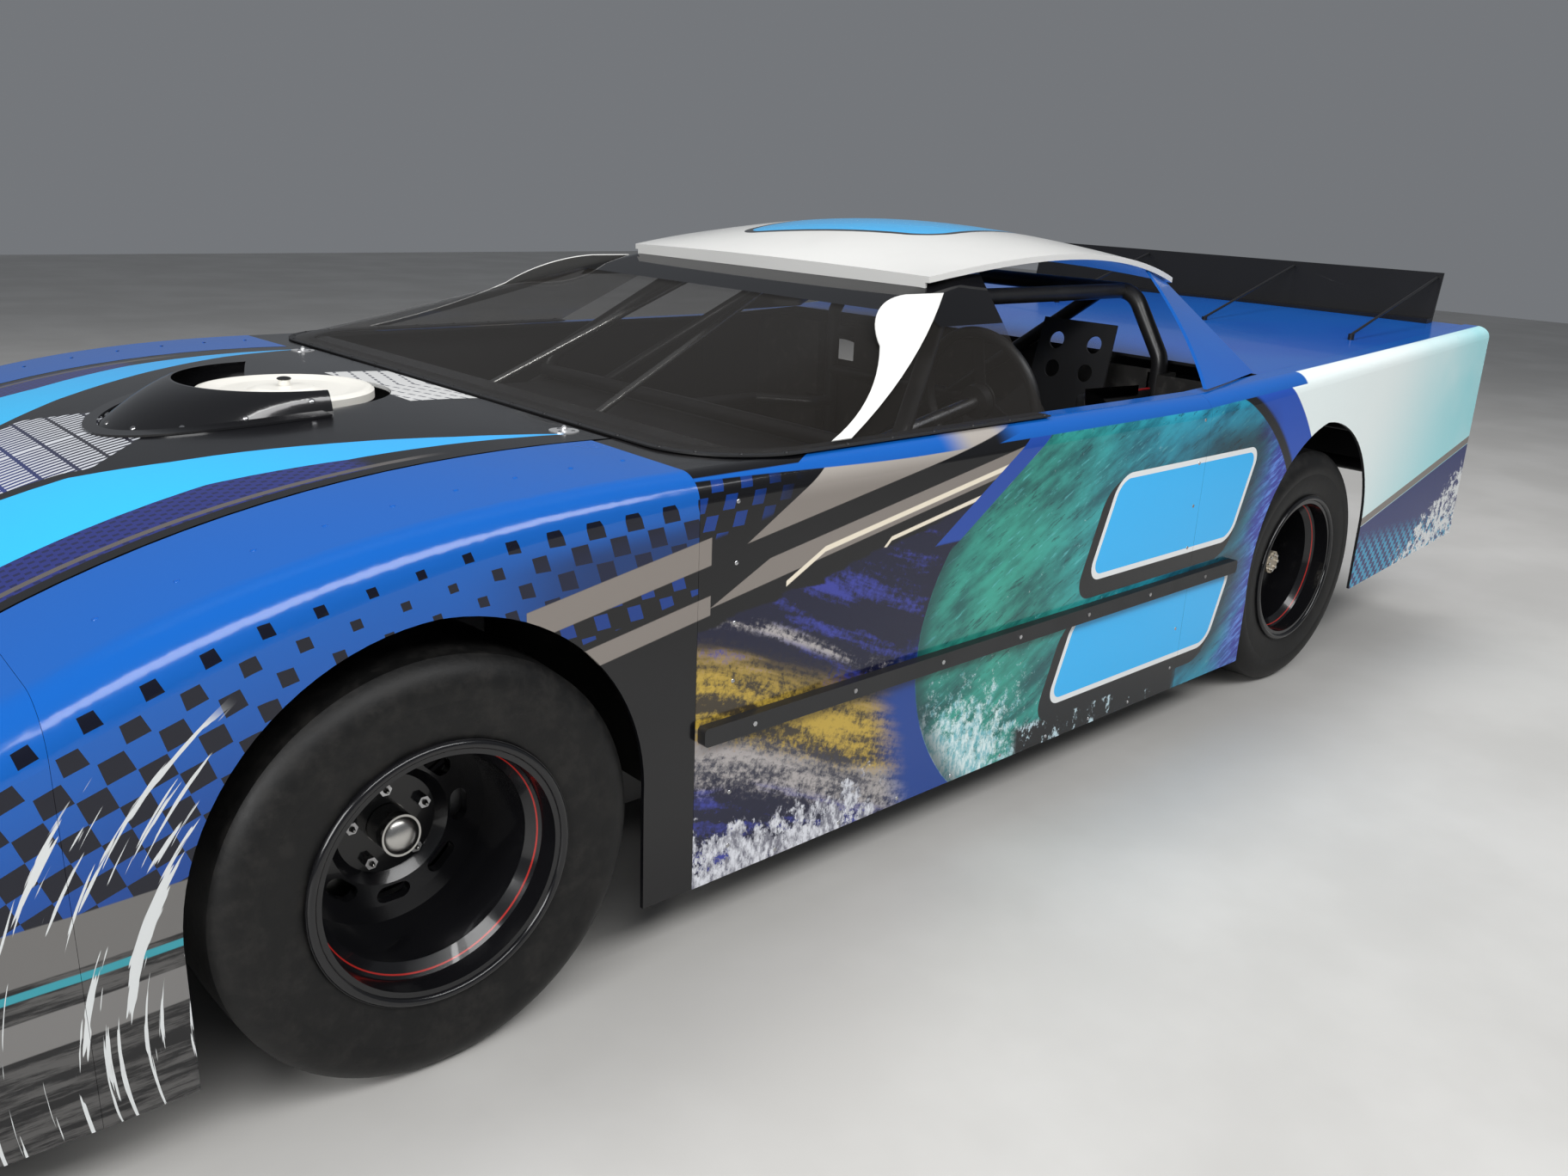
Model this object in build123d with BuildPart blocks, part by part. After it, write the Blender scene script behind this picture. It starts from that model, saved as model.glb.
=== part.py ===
"""Asphalt stock car (wedge-bodied late model): body panels, cage, frame, running gear.

Millimetres. X runs forward to the nose, Y to the driver's side (left), Z up.
The origin is on the floor, half way between the axles, on the centre line.
"""

from build123d import *
import os
from math import atan2, cos, radians, sin

os.makedirs("parts", exist_ok=True)

# Overall layout
wheelbase = 2640
front_track = 1676
rear_track = 1624
front_axle_x = wheelbase / 2
rear_axle_x = -wheelbase / 2
nose_x = 2420
tail_x = -2420
side_y = 970
seam = 0.5
fit_gap = 0.3
move_gap = 6

# Body sheet and its seams along the car
skin = 8
nose_seam_x = 1800
door_front_x = 855
cowl_x = 800
door_rear_x = -700
deck_front_x = -1055
hood_half = 660
belt_z = 872
sill_z = 130

# Wheels and tyres
tyre_radius = 335
tyre_width = 285
tread_width = 236
tyre_wall = 12
rim_lip_radius = 209
rim_seat_radius = 190
rim_well_radius = 172
rim_half = 140
disc_offset = -64
disc_sheet = 8
disc_bore = 34

# Front wheel openings, kingpin and steering
kingpin_inset = 148
kingpin_y = front_track / 2 - kingpin_inset
kingpin_reach = 140
spindle_radius = 16
steer_arm = 130
rack_z = 275

# Roof and glass
roof_front_x = -120
roof_rear_x = -1130
roof_half = 575
roof_skin = 10
glass = 5
glass_base_x = 790
glass_base_y = 925
glass_top_y = 542
glass_top_z = 1128

# Cage and frame tubes
cage_tube = 22
rail_high = 75
rail_wide = 50
rail_z = 135
main_rail_y = 620
front_rail_y = 380
rear_rail_y = 500
firewall_x = 775
rear_wall_x = -1045
tub_x = -958
tub_y = 656
tin = 2.5
floor_z = rail_z + rail_high + fit_gap


def save(name, piece):
    """Labels one finished piece and writes its file."""
    piece.label = name
    export_step(piece, f"parts/{name}.step")
    return piece


def mirrored(piece):
    """The right-hand twin of a left-hand piece."""
    with BuildPart() as twin:
        mirror(piece, about=Plane.XZ)
    return twin.part


def both_sides(piece):
    """A left-hand piece together with its right-hand twin."""
    with BuildPart() as pair:
        add(piece)
        mirror(about=Plane.XZ)
    return pair.part


# Body sections: station x, half width, sill z, shoulder z, crest z at the centre line, shoulder radius
NOSE = [
    (nose_x, 700, 150, 335, 350, 60),
    (2330, 850, 142, 440, 462, 75),
    (2100, 945, 140, 590, 614, 80),
    (nose_seam_x, side_y - 2, 140, 722, 742, 75),
]
FENDER = [
    (nose_seam_x, side_y - 2, 140, 722, 742, 75),
    (1560, side_y, 138, 803, 820, 70),
    (1250, side_y, 135, 856, 872, 58),
    (cowl_x, side_y, sill_z, belt_z, belt_z + 2, 48),
]
DOOR = [
    (cowl_x + 100, side_y, sill_z, belt_z, belt_z + 2, 48),
    (door_rear_x, side_y, sill_z, belt_z, belt_z + 2, 48),
]
QUARTER = [
    (door_rear_x, side_y, sill_z, belt_z, belt_z + 2, 48),
    (-1500, side_y - 2, sill_z, 912, 922, 42),
    (tail_x, side_y - 10, sill_z, 964, 972, 36),
]


def hull(sections, inset=0, drop=0):
    """Lofts a closed body form through the sections, inset from the outer skin."""
    with BuildPart() as form:
        for x, half, sill, shoulder, crest, radius in sections:
            w = half - inset
            top = shoulder - inset
            r = radius - inset
            low = sill - drop
            turn = r * (1 - cos(radians(45)))
            with BuildSketch(Plane.YZ.offset(x)):
                with BuildLine():
                    Line((w, low), (w, top - r))
                    ThreePointArc((w, top - r), (w - turn, top - turn), (w - r, top))
                    ThreePointArc((w - r, top), (0, crest - inset), (-w + r, top))
                    ThreePointArc((-w + r, top), (-w + turn, top - turn), (-w, top - r))
                    Line((-w, top - r), (-w, low))
                    Line((-w, low), (w, low))
                make_face()
        loft()
    return form.part


def block(x0, x1, y0, y1, z0, z1):
    """A plain box between two corners, for cutting or keeping."""
    with BuildPart() as solid:
        with Locations(((x0 + x1) / 2, (y0 + y1) / 2, (z0 + z1) / 2)):
            Box(x1 - x0, y1 - y0, z1 - z0)
    return solid.part


def bar(points, radius, bend=70):
    """A round tube along straight runs with bends of one radius."""
    with BuildPart() as run:
        with BuildLine() as path:
            if len(points) > 2:
                FilletPolyline(*points, radius=bend)
            else:
                Line(*points)
        with BuildSketch(Plane(origin=points[0], z_dir=path.line % 0)):
            Circle(radius)
        sweep(path=path.line)
    return run.part


def disc(x, y, z, radius, length, axis="y"):
    """A cylinder centred at a place, along one of the three axes."""
    turn = {"y": (90, 0, 0), "x": (0, 90, 0), "z": (0, 0, 0)}[axis]
    with BuildPart() as solid:
        with Locations(Location((x, y, z), turn)):
            Cylinder(radius, length)
    return solid.part


def rod_x(x0, x1, y, z, radius):
    """A cylinder along the car between two stations."""
    return disc((x0 + x1) / 2, y, z, radius, abs(x1 - x0), "x")


def trimmed(piece, *neighbours):
    """What is left of a piece once its welded neighbours have their own steel."""
    with BuildPart() as rest:
        add(piece)
        for neighbour in neighbours:
            add(neighbour, mode=Mode.SUBTRACT)
    return rest.part


def opening(points, y0, y1):
    """A closed outline of points and arc middles, drawn on the side view and cut through y0 to y1."""
    with BuildPart() as cutter:
        with BuildSketch(Plane.XZ.offset(-y1)):
            with BuildLine():
                for kind, *run in points:
                    if kind == "arc":
                        ThreePointArc(*run)
                    else:
                        Line(*run)
            make_face()
        extrude(amount=y1 - y0)
    return cutter.part


def arch(front, rear, top, centre_x, low=0):
    """The outline of a wheel opening: straight lower edges under one broad arch."""
    (fx, fz), (rx, rz) = front, rear
    return [
        ("line", (rx, low), (fx, low)),
        ("line", (fx, low), (fx, fz)),
        ("arc", (fx, fz), (centre_x + (fx - centre_x) * 0.72, fz + (top - fz) * 0.70), (centre_x, top)),
        ("arc", (centre_x, top), (centre_x + (rx - centre_x) * 0.72, rz + (top - rz) * 0.70), (rx, rz)),
        ("line", (rx, rz), (rx, low)),
    ]


front_opening = opening(arch((1682, 340), (960, 340), 726, 1310), 400, 1200)
rear_opening = opening(arch((-1016, 300), (-1668, 400), 752, -1330), 400, 1200)
tail_rise = opening(
    [
        ("line", (-1660, 0), (-1660, 212)),
        ("line", (-1660, 212), (tail_x - 50, 277)),
        ("line", (tail_x - 50, 277), (tail_x - 50, 0)),
        ("line", (tail_x - 50, 0), (-1660, 0)),
    ],
    -1200,
    1200,
)

# Nose cover, with its grille mouth and the return lips of the sheet
grille_half = 380
grille_low = 190
grille_high = 300
with BuildPart() as nose:
    add(hull(NOSE))
    add(hull([(nose_x - skin, *NOSE[0][1:]), *NOSE[1:]], skin, 60), mode=Mode.SUBTRACT)
    add(block(nose_seam_x - 50, nose_seam_x + seam / 2, -1200, 1200, 0, 1200), mode=Mode.SUBTRACT)
    mouth = block(nose_x - 60, nose_x + 60, -grille_half, grille_half, grille_low, grille_high)
    add(mouth, mode=Mode.SUBTRACT)
save("nose_cover", nose.part)

# Front fenders, outboard of the hood
with BuildPart() as fender:
    add(hull(FENDER))
    add(hull(FENDER, skin, 60), mode=Mode.SUBTRACT)
    add(
        block(door_front_x + seam / 2, nose_seam_x - seam / 2, hood_half + move_gap, 1200, 0, 1200),
        mode=Mode.INTERSECT,
    )
    add(front_opening, mode=Mode.SUBTRACT)
save("front_fenders", both_sides(fender.part))

# Hood, lifting on two hinges at its front edge
cleaner_x = 1125
cleaner_radius = 168
scoop_rim = cleaner_radius + 32
hood_front_x = nose_seam_x - move_gap
hood_rear_x = cowl_x + 14
with BuildPart() as hood:
    add(hull(FENDER))
    add(hull(FENDER, skin, 60), mode=Mode.SUBTRACT)
    add(block(hood_rear_x, hood_front_x, -hood_half, hood_half, 400, 1200), mode=Mode.INTERSECT)
    with Locations((cleaner_x, 0, 850)):
        Cylinder(scoop_rim, 300, mode=Mode.SUBTRACT)
save("hood", hood.part)

# Hood scoop: a horseshoe cowl about the air cleaner, steep at the sides, sloping ahead, open to the rear
scoop_low = 780
scoop_sill = 840
scoop_top = 915
scoop_wall = 5
scoop_swell = [
    # above the sill, reach ahead and half width, both past the rim
    (0, 140, 28), (20, 112, 25), (45, 72, 20), (65, 32, 13), (scoop_top - scoop_sill, scoop_wall, scoop_wall),
]
flange_wide = 42
flange_sheet = 4
foot_ahead = scoop_rim + scoop_swell[0][1]
foot_half = scoop_rim + scoop_swell[0][2]


def scoop_plan(ahead, half, back=0.0):
    """A half ellipse about the air cleaner, closed across the car some way behind its centre."""
    with BuildSketch() as plan:
        with BuildLine():
            EllipticalCenterArc((cleaner_x, 0), ahead, half, -90, arc_size=180)
            Polyline(
                (cleaner_x, half), (cleaner_x - back - 1, half),
                (cleaner_x - back - 1, -half), (cleaner_x, -half),
            )
        make_face()
    return plan.sketch


def horseshoe(inset, back):
    """The cowl as a solid, drawn in by a wall and carried some way past its open end."""
    with BuildPart() as cowl:
        with BuildSketch(Plane.XY.offset(scoop_low)):
            add(scoop_plan(foot_ahead - inset, foot_half - inset, back))
        extrude(amount=scoop_sill - scoop_low)
        for rise, ahead, half in scoop_swell:
            with BuildSketch(Plane.XY.offset(scoop_sill + rise)):
                add(scoop_plan(scoop_rim + ahead - inset, scoop_rim + half - inset, back))
        loft()
    return cowl.part


hood_top = hull(FENDER, -fit_gap)
with BuildPart() as flange:
    with BuildSketch(Plane.XY.offset(scoop_low)):
        add(scoop_plan(foot_ahead + flange_wide / 2, foot_half + flange_wide))
        add(scoop_plan(foot_ahead - 2, foot_half - 2), mode=Mode.SUBTRACT)
    extrude(amount=200)
    add(hull(FENDER, -fit_gap - flange_sheet), mode=Mode.INTERSECT)
    add(block(cleaner_x + flange_wide / 2, 2000, -400, 400, 0, 1200), mode=Mode.INTERSECT)
with BuildPart() as scoop:
    add(horseshoe(0, 0))
    add(horseshoe(scoop_wall, 2), mode=Mode.SUBTRACT)
    add(flange.part)
    add(hood_top, mode=Mode.SUBTRACT)
save("hood_scoop", scoop.part)

# Air cleaner: base, pleated filter and dished lid, on the engine's centre line
lid_z = 872
lid_skirt = 18
filter_radius = cleaner_radius - 12
filter_low = 812
with BuildPart() as cleaner:
    with BuildSketch(Plane.XZ):
        with BuildLine():
            Polyline(
                (0, filter_low - 6), (filter_radius, filter_low - 6), (filter_radius, lid_z),
                (cleaner_radius, lid_z), (cleaner_radius, lid_z + lid_skirt - 3),
                (cleaner_radius - 6, lid_z + lid_skirt + 2), (cleaner_radius - 14, lid_z + lid_skirt + 3),
                (cleaner_radius - 46, lid_z + lid_skirt - 3), (70, lid_z + lid_skirt - 3),
                (52, lid_z + lid_skirt + 3), (11, lid_z + lid_skirt + 5),
                (11, lid_z + lid_skirt + 18), (0, lid_z + lid_skirt + 18), (0, filter_low - 6),
            )
        make_face()
    revolve(axis=Axis.Z)
save("air_cleaner", cleaner.part.moved(Location((cleaner_x, 0, 0))))

# Door sides with the belt flange that carries the glass
flange_y = 885
with BuildPart() as door:
    add(hull(DOOR))
    add(hull(DOOR, skin, 60), mode=Mode.SUBTRACT)
    add(
        block(door_rear_x + seam / 2, door_front_x - seam / 2, flange_y, 1200, 0, 1200),
        mode=Mode.INTERSECT,
    )
    add(front_opening, mode=Mode.SUBTRACT)
save("door_panels", both_sides(door.part))

# Cowl: the sheet between the hood and the windscreen, with its corners at the fenders
cowl_depth = 120
with BuildPart() as cowl_keep:
    add(block(cowl_x - cowl_depth, cowl_x + 8, -flange_y + seam, flange_y - seam, 700, 1200))
    add(block(cowl_x - 1, door_front_x - seam, hood_half + move_gap, flange_y - seam, 700, 1200))
    add(block(cowl_x - 1, door_front_x - seam, -flange_y + seam, -hood_half - move_gap, 700, 1200))
with BuildPart() as cowl:
    add(hull(DOOR))
    add(hull(DOOR, skin, 60), mode=Mode.SUBTRACT)
    add(cowl_keep.part, mode=Mode.INTERSECT)
save("cowl_panel", cowl.part)

# Rear quarters, cut for the wheels, the rising tail and its slanted end
quarter_flange_y = 885
tail_top_x = -2402
tail_low_x = -2418
tail_round = 42
tail_cut = opening(
    [
        ("line", (tail_x - 60, 1100), (tail_top_x + tail_round, 1100)),
        ("line", (tail_top_x + tail_round, 1100), (tail_top_x + tail_round, 974)),
        ("arc", (tail_top_x + tail_round, 974), (tail_top_x + 12, 956), (tail_top_x, 915)),
        ("line", (tail_top_x, 915), (tail_low_x, 200)),
        ("line", (tail_low_x, 200), (tail_x - 60, 200)),
        ("line", (tail_x - 60, 200), (tail_x - 60, 1100)),
    ],
    -1200,
    1200,
)
quarter_inner = hull(
    [QUARTER[0], QUARTER[1], (tail_x - 30, *QUARTER[2][1:])],
    skin,
    60,
)
with BuildPart() as quarter:
    add(hull(QUARTER))
    add(quarter_inner, mode=Mode.SUBTRACT)
    add(block(tail_x, door_rear_x - seam / 2, quarter_flange_y, 1200, 0, 1200), mode=Mode.INTERSECT)
    add(rear_opening, mode=Mode.SUBTRACT)
    add(tail_rise, mode=Mode.SUBTRACT)
    add(tail_cut, mode=Mode.SUBTRACT)
save("quarter_panels", both_sides(quarter.part))

# Rear deck between the quarters
deck_rear_x = tail_top_x + tail_round
with BuildPart() as deck:
    add(hull(QUARTER))
    add(quarter_inner, mode=Mode.SUBTRACT)
    add(
        block(deck_rear_x, deck_front_x, -quarter_flange_y + seam, quarter_flange_y - seam, 700, 1200),
        mode=Mode.INTERSECT,
    )
save("rear_deck", deck.part)

# Tail panel closing the back, inside the quarters
tail_panel_x = deck_rear_x - 2
tail_panel_low = 430
with BuildPart() as tail:
    add(hull([QUARTER[0], QUARTER[1], (tail_x - 30, *QUARTER[2][1:])], skin + 2 * seam))
    add(block(tail_panel_x - 6, tail_panel_x, -1200, 1200, tail_panel_low, 1200), mode=Mode.INTERSECT)
save("tail_panel", tail.part)

# Spoiler: a blade across the deck with its foot angle and stay rods
spoiler_x = -2332
spoiler_half = 800
spoiler_height = 150
spoiler_lean = 30
spoiler_sheet = 5
spoiler_foot = 40
deck_z = 968
stay_base_x = -1790
stay_base_z = 938
stays_y = (-785, -295, 295, 785)
stay_radius = 4
with BuildPart() as spoiler:
    with BuildSketch(Plane.XZ.offset(-spoiler_half)):
        with BuildLine():
            Polyline(
                (spoiler_x + spoiler_foot, deck_z - 30), (spoiler_x + spoiler_foot, deck_z + 6),
                (spoiler_x + spoiler_sheet, deck_z + 8),
                (spoiler_x - spoiler_lean + spoiler_sheet, deck_z + spoiler_height),
                (spoiler_x - spoiler_lean, deck_z + spoiler_height), (spoiler_x, deck_z - 30),
                (spoiler_x + spoiler_foot, deck_z - 30),
            )
        make_face()
    extrude(amount=2 * spoiler_half)
    for y in stays_y:
        rod_top = (spoiler_x - spoiler_lean + 6, y, deck_z + spoiler_height - 12)
        add(bar([rod_top, (stay_base_x, y, stay_base_z + 8)], stay_radius))
        add(disc(stay_base_x, y, stay_base_z - 5, 9, 30, "z"))
    add(hull(QUARTER, -fit_gap), mode=Mode.SUBTRACT)
save("spoiler", spoiler.part)

# Roof: a domed panel; stations along X with half width, edge z and crest z
ROOF = [
    (roof_front_x, 558, 1112, 1124),
    (-420, roof_half, 1150, 1202),
    (-820, roof_half, 1152, 1204),
    (roof_rear_x, 556, 1092, 1122),
]
roof_lip = 14


def glass_line(front, half, rear, corner):
    """The closed plan of everything behind a front edge, with rounded front corners."""
    turn = corner * (1 - cos(radians(45)))
    with BuildSketch() as plan:
        with BuildLine():
            Line((rear, half), (front - corner, half))
            ThreePointArc((front - corner, half), (front - turn, half - turn), (front, half - corner))
            Line((front, half - corner), (front, -half + corner))
            ThreePointArc((front, -half + corner), (front - turn, -half + turn), (front - corner, -half))
            Line((front - corner, -half), (rear, -half))
            Line((rear, -half), (rear, half))
        make_face()
    return plan.sketch


# Trim strip along the foot of the windscreen, riveted to cowl and belt
trim_z = belt_z + 2 + fit_gap
trim_sheet = 3
trim_wall = 44
glass_corner = 190
glass_rear_x = -100
with BuildPart() as trim:
    with BuildSketch(Plane.XY.offset(trim_z)):
        add(glass_line(glass_base_x + 14, glass_base_y + 12, glass_rear_x, glass_corner))
        add(
            glass_line(glass_base_x - trim_wall, glass_base_y - 28, glass_rear_x, glass_corner - 20),
            mode=Mode.SUBTRACT,
        )
    extrude(amount=trim_sheet)
save("windscreen_trim", trim.part)

# Wrap-round windscreen: one clear sheet from the trim strip up to the roof's edge
glass_foot_z = trim_z + trim_sheet + fit_gap
glass_front_top = -232
glass_rear_top = -314
glass_top_corner = 48
front_slope = atan2(glass_top_z - glass_foot_z, glass_base_x - glass_front_top)
side_slope = atan2(glass_top_z - glass_foot_z, glass_base_y - glass_top_y)
glass_front_wall = glass / sin(front_slope)
glass_side_wall = glass / sin(side_slope)


def glass_form(front_wall, side_wall):
    """The solid under the screen, drawn in by a wall on the front and the sides."""
    with BuildPart() as form:
        with BuildSketch(Plane.XY.offset(glass_foot_z)):
            add(
                glass_line(
                    glass_base_x - front_wall, glass_base_y - side_wall, glass_rear_x, glass_corner
                )
            )
        with BuildSketch(Plane.XY.offset(glass_top_z)):
            add(
                glass_line(
                    glass_front_top - front_wall, glass_top_y - side_wall, glass_rear_top, glass_top_corner
                )
            )
        loft(ruled=True)
    return form.part


with BuildPart() as above_roof_edge:
    for x, half, edge, crest in ROOF:
        with BuildSketch(Plane.YZ.offset(x)):
            Polygon(
                (-700, edge - fit_gap), (700, edge - fit_gap), (700, 1400), (-700, 1400), align=None,
            )
    loft()
with BuildPart() as screen:
    add(glass_form(0, 0))
    add(glass_form(glass_front_wall, glass_side_wall), mode=Mode.SUBTRACT)
    add(above_roof_edge.part, mode=Mode.SUBTRACT)
save("windscreen", screen.part)

# The roof panel, with a lip at its front edge that comes down to the glass
with BuildPart() as roof:
    for x, half, edge, crest in ROOF:
        with BuildSketch(Plane.YZ.offset(x)):
            with BuildLine():
                Line((half, edge), (half, edge + roof_lip))
                ThreePointArc((half, edge + roof_lip), (0, crest + 8), (-half, edge + roof_lip))
                Line((-half, edge + roof_lip), (-half, edge))
                Line((-half, edge), (-half + roof_skin, edge))
                ThreePointArc(
                    (-half + roof_skin, edge), (0, crest + 8 - roof_skin), (half - roof_skin, edge)
                )
                Line((half - roof_skin, edge), (half, edge))
            make_face()
    loft()
    lip_half = ROOF[0][1] - 12
    add(block(roof_front_x - 6, roof_front_x, -lip_half, lip_half, 1080, ROOF[0][2] + roof_lip - 1))
    add(glass_form(-fit_gap / sin(front_slope), -fit_gap / sin(side_slope)), mode=Mode.SUBTRACT)
save("roof", roof.part)

# Windscreen post covers: a white strip on each side glass, widening to a fin half way up
side_plane = Plane(
    origin=(0, glass_base_y, glass_foot_z),
    x_dir=(-1, 0, 0),
    z_dir=(0, sin(side_slope), cos(side_slope)),
)
cover_rise = (1092 - glass_foot_z) / sin(side_slope)
with BuildPart() as post_cover:
    with BuildSketch(side_plane.offset(fit_gap)):
        with BuildLine():
            ThreePointArc((-520, 8), (-345, 108), (-205, 240))
            ThreePointArc((-205, 240), (-135, 336), (0, cover_rise))
            Line((0, cover_rise), (125, cover_rise))
            ThreePointArc((125, cover_rise), (-180, 172), (-470, 8))
            Line((-470, 8), (-520, 8))
        make_face()
    extrude(amount=tin)
save("windscreen_post_covers", both_sides(post_cover.part))

# Sail panels: curved sheets from the roof's rear corners down to the quarters
# Sections: height z, front edge x and y, rear edge x and y
SAIL = [
    (1135, -1000, 550, -1118, 487),
    (1000, -892, 749, -1082, 702),
    (866, -715, 946, -1050, 915),
]
sail_sheet = 10
with BuildPart() as sail:
    for z, front, front_y, rear, rear_y in SAIL:
        with BuildSketch(Plane.XY.offset(z)):
            Polygon(
                (front, front_y), (rear, rear_y), (rear, rear_y - sail_sheet), (front, front_y - sail_sheet),
                align=None,
            )
    loft()
    add(above_roof_edge.part, mode=Mode.SUBTRACT)
    add(hull([(-500, *QUARTER[0][1:]), *QUARTER[1:]], -fit_gap), mode=Mode.SUBTRACT)
save("sail_panels", both_sides(sail.part))

# Rub rails along the doors
rail_stand = 20
with BuildPart() as rub_rail:
    with Locations(((850 - 898) / 2, side_y + fit_gap + rail_stand / 2, 424)):
        Box(850 + 898, rail_stand, 34)
    fillet(rub_rail.edges().filter_by(Axis.Y), 8)
save("rub_rails", both_sides(rub_rail.part))


# Main frame: side rails, rear kick-up rails and cross members
rear_clip_x = tail_x + 170
kick_z = 480
front_cross_x = firewall_x - 25
rear_cross_x = -825
cell_cross_x = (-1700, rear_clip_x + 25)
rail_mid_z = rail_z + rail_high / 2
rail_top_z = rail_z + rail_high
clip_joint_x = firewall_x - 50
with BuildPart() as main_frame:
    for side in (-1, 1):
        with Locations(((firewall_x + rear_cross_x - 25) / 2, side * main_rail_y, rail_mid_z)):
            Box(firewall_x - rear_cross_x + 25, rail_wide, rail_high)
        with BuildSketch(Plane.XZ.offset(-side * rear_rail_y)):
            Polygon(
                (-800, rail_z), (-850, rail_z), (-1080, kick_z - 40), (rear_clip_x, kick_z - 40),
                (rear_clip_x, kick_z + 15), (-1110, kick_z + 15), (-900, rail_top_z), (-800, rail_top_z),
                align=None,
            )
        extrude(amount=rail_wide / 2, both=True)
    for x in (front_cross_x, rear_cross_x):
        with Locations((x, 0, rail_mid_z)):
            Box(rail_wide, 2 * main_rail_y, rail_high)
    for x in cell_cross_x:
        with Locations((x, 0, kick_z - 12)):
            Box(rail_wide, 2 * rear_rail_y, 50)
save("main_frame", main_frame.part)

# Front clip: rails, engine cross member, towers for the upper arms, and a seat for the steering rack
front_bar_inset = 150
front_bar_x = nose_x - front_bar_inset
front_clip_x = front_bar_x - 280
clip_low = rail_z + 44
rack_x = front_axle_x + steer_arm
rack_tube = 24
rack_seat_z = rack_z - rack_tube - fit_gap
tower_top_z = 640
with BuildPart() as front_clip:
    for side in (-1, 1):
        with Locations(((clip_joint_x + front_clip_x) / 2 + 25, side * front_rail_y, rail_mid_z)):
            Box(front_clip_x - clip_joint_x - 50, rail_wide, rail_high)
        with Locations((front_axle_x, side * (front_rail_y + 15), (rail_top_z + tower_top_z) / 2)):
            Box(224, 26, tower_top_z - rail_top_z)
        with Locations((front_axle_x, side * (front_rail_y + 48), tower_top_z - 6)):
            Box(110, 70, 12)
        with Locations((rack_x, side * 200, (rail_top_z + rack_seat_z) / 2)):
            Box(30, 40, rack_seat_z - rail_top_z)
    for x in (front_axle_x, front_clip_x - 25):
        with Locations((x, 0, (rail_z + clip_low) / 2)):
            Box(90, 2 * front_rail_y, clip_low - rail_z)
    with Locations((rack_x, 0, rail_top_z - 15)):
        Box(46, 2 * front_rail_y, 30)
save("front_clip", front_clip.part)

# Bumper bars welded to the ends of the frame
bumper_tube = 22
front_bar_z = (235, 345)
rear_bar_z = (470, 600)
rear_bar_x = rear_clip_x - bumper_tube
with BuildPart() as front_bumper:
    for z in front_bar_z:
        add(
            bar(
                [
                    (front_clip_x - 60, front_rail_y + 2, z - 40), (front_bar_x - 90, front_rail_y + 40, z),
                    (front_bar_x, front_rail_y - 60, z), (front_bar_x, -front_rail_y + 60, z),
                    (front_bar_x - 90, -front_rail_y - 40, z), (front_clip_x - 60, -front_rail_y - 2, z - 40),
                ],
                bumper_tube - 2,
                40,
            )
        )
    for y in (-220, 220):
        add(bar([(front_bar_x, y, front_bar_z[0]), (front_bar_x, y, front_bar_z[1])], bumper_tube - 5))
with BuildPart() as rear_bumper:
    for z in rear_bar_z:
        add(bar([(rear_bar_x, -720, z), (rear_bar_x, 720, z)], bumper_tube))
    for y in (-700, -430, 430, 700):
        add(bar([(rear_bar_x, y, rear_bar_z[0]), (rear_bar_x, y, rear_bar_z[1])], bumper_tube - 4))
with BuildPart() as bumpers:
    add(trimmed(front_bumper.part, front_clip.part))
    add(trimmed(rear_bumper.part, main_frame.part))
save("bumper_bars", bumpers.part)

# Tow eyes: a drilled plate on each bumper bar
tow_bore = 20
tow_plate = 12
tow_reach = 62
tow_y = 0
with BuildPart() as tow_eyes:
    for x, z, lift in (
        (front_bar_x, front_bar_z[0], -1),
        (rear_bar_x, rear_bar_z[0], -1),
    ):
        add(disc(x, tow_y, z + lift * tow_reach, 38, tow_plate))
        with Locations((x, tow_y, z + lift * tow_reach / 2)):
            Box(44, tow_plate, tow_reach)
        add(disc(x, tow_y, z + lift * tow_reach, tow_bore, 2 * tow_plate), mode=Mode.SUBTRACT)
save("tow_eyes", trimmed(tow_eyes.part, bumpers.part, main_frame.part))

# Roll cage: main hoop, roof hoop with its posts, door bars and braces
hoop_x = -1000
hoop_y = 630
hoop_bend_z = 900
hoop_top_y = 524
door_bar_z = (335, 465, 595)
cage_y = 690
door_bar_y = 800
cage_top = 1068
brace_tube = cage_tube - 2
spring_x = -1400
spring_top_z = 790
spring_bar = brace_tube - 3
with BuildPart() as main_hoop:
    add(
        bar(
            [
                (hoop_x, hoop_y, 300), (hoop_x, hoop_y, hoop_bend_z), (hoop_x, hoop_top_y, cage_top),
                (hoop_x, -hoop_top_y, cage_top), (hoop_x, -hoop_y, hoop_bend_z), (hoop_x, -hoop_y, 300),
            ],
            cage_tube,
        )
    )
    for side in (-1, 1):
        add(bar([(hoop_x, side * hoop_y, 306), (-905, side * (rear_rail_y + 8), 220)], brace_tube))
    add(bar([(hoop_x + 1, -600, 352), (hoop_x + 1, 420, cage_top - 6)], brace_tube - 1))
    add(bar([(hoop_x + 2, -hoop_y, 702), (hoop_x + 2, hoop_y, 702)], brace_tube - 2))
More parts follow.
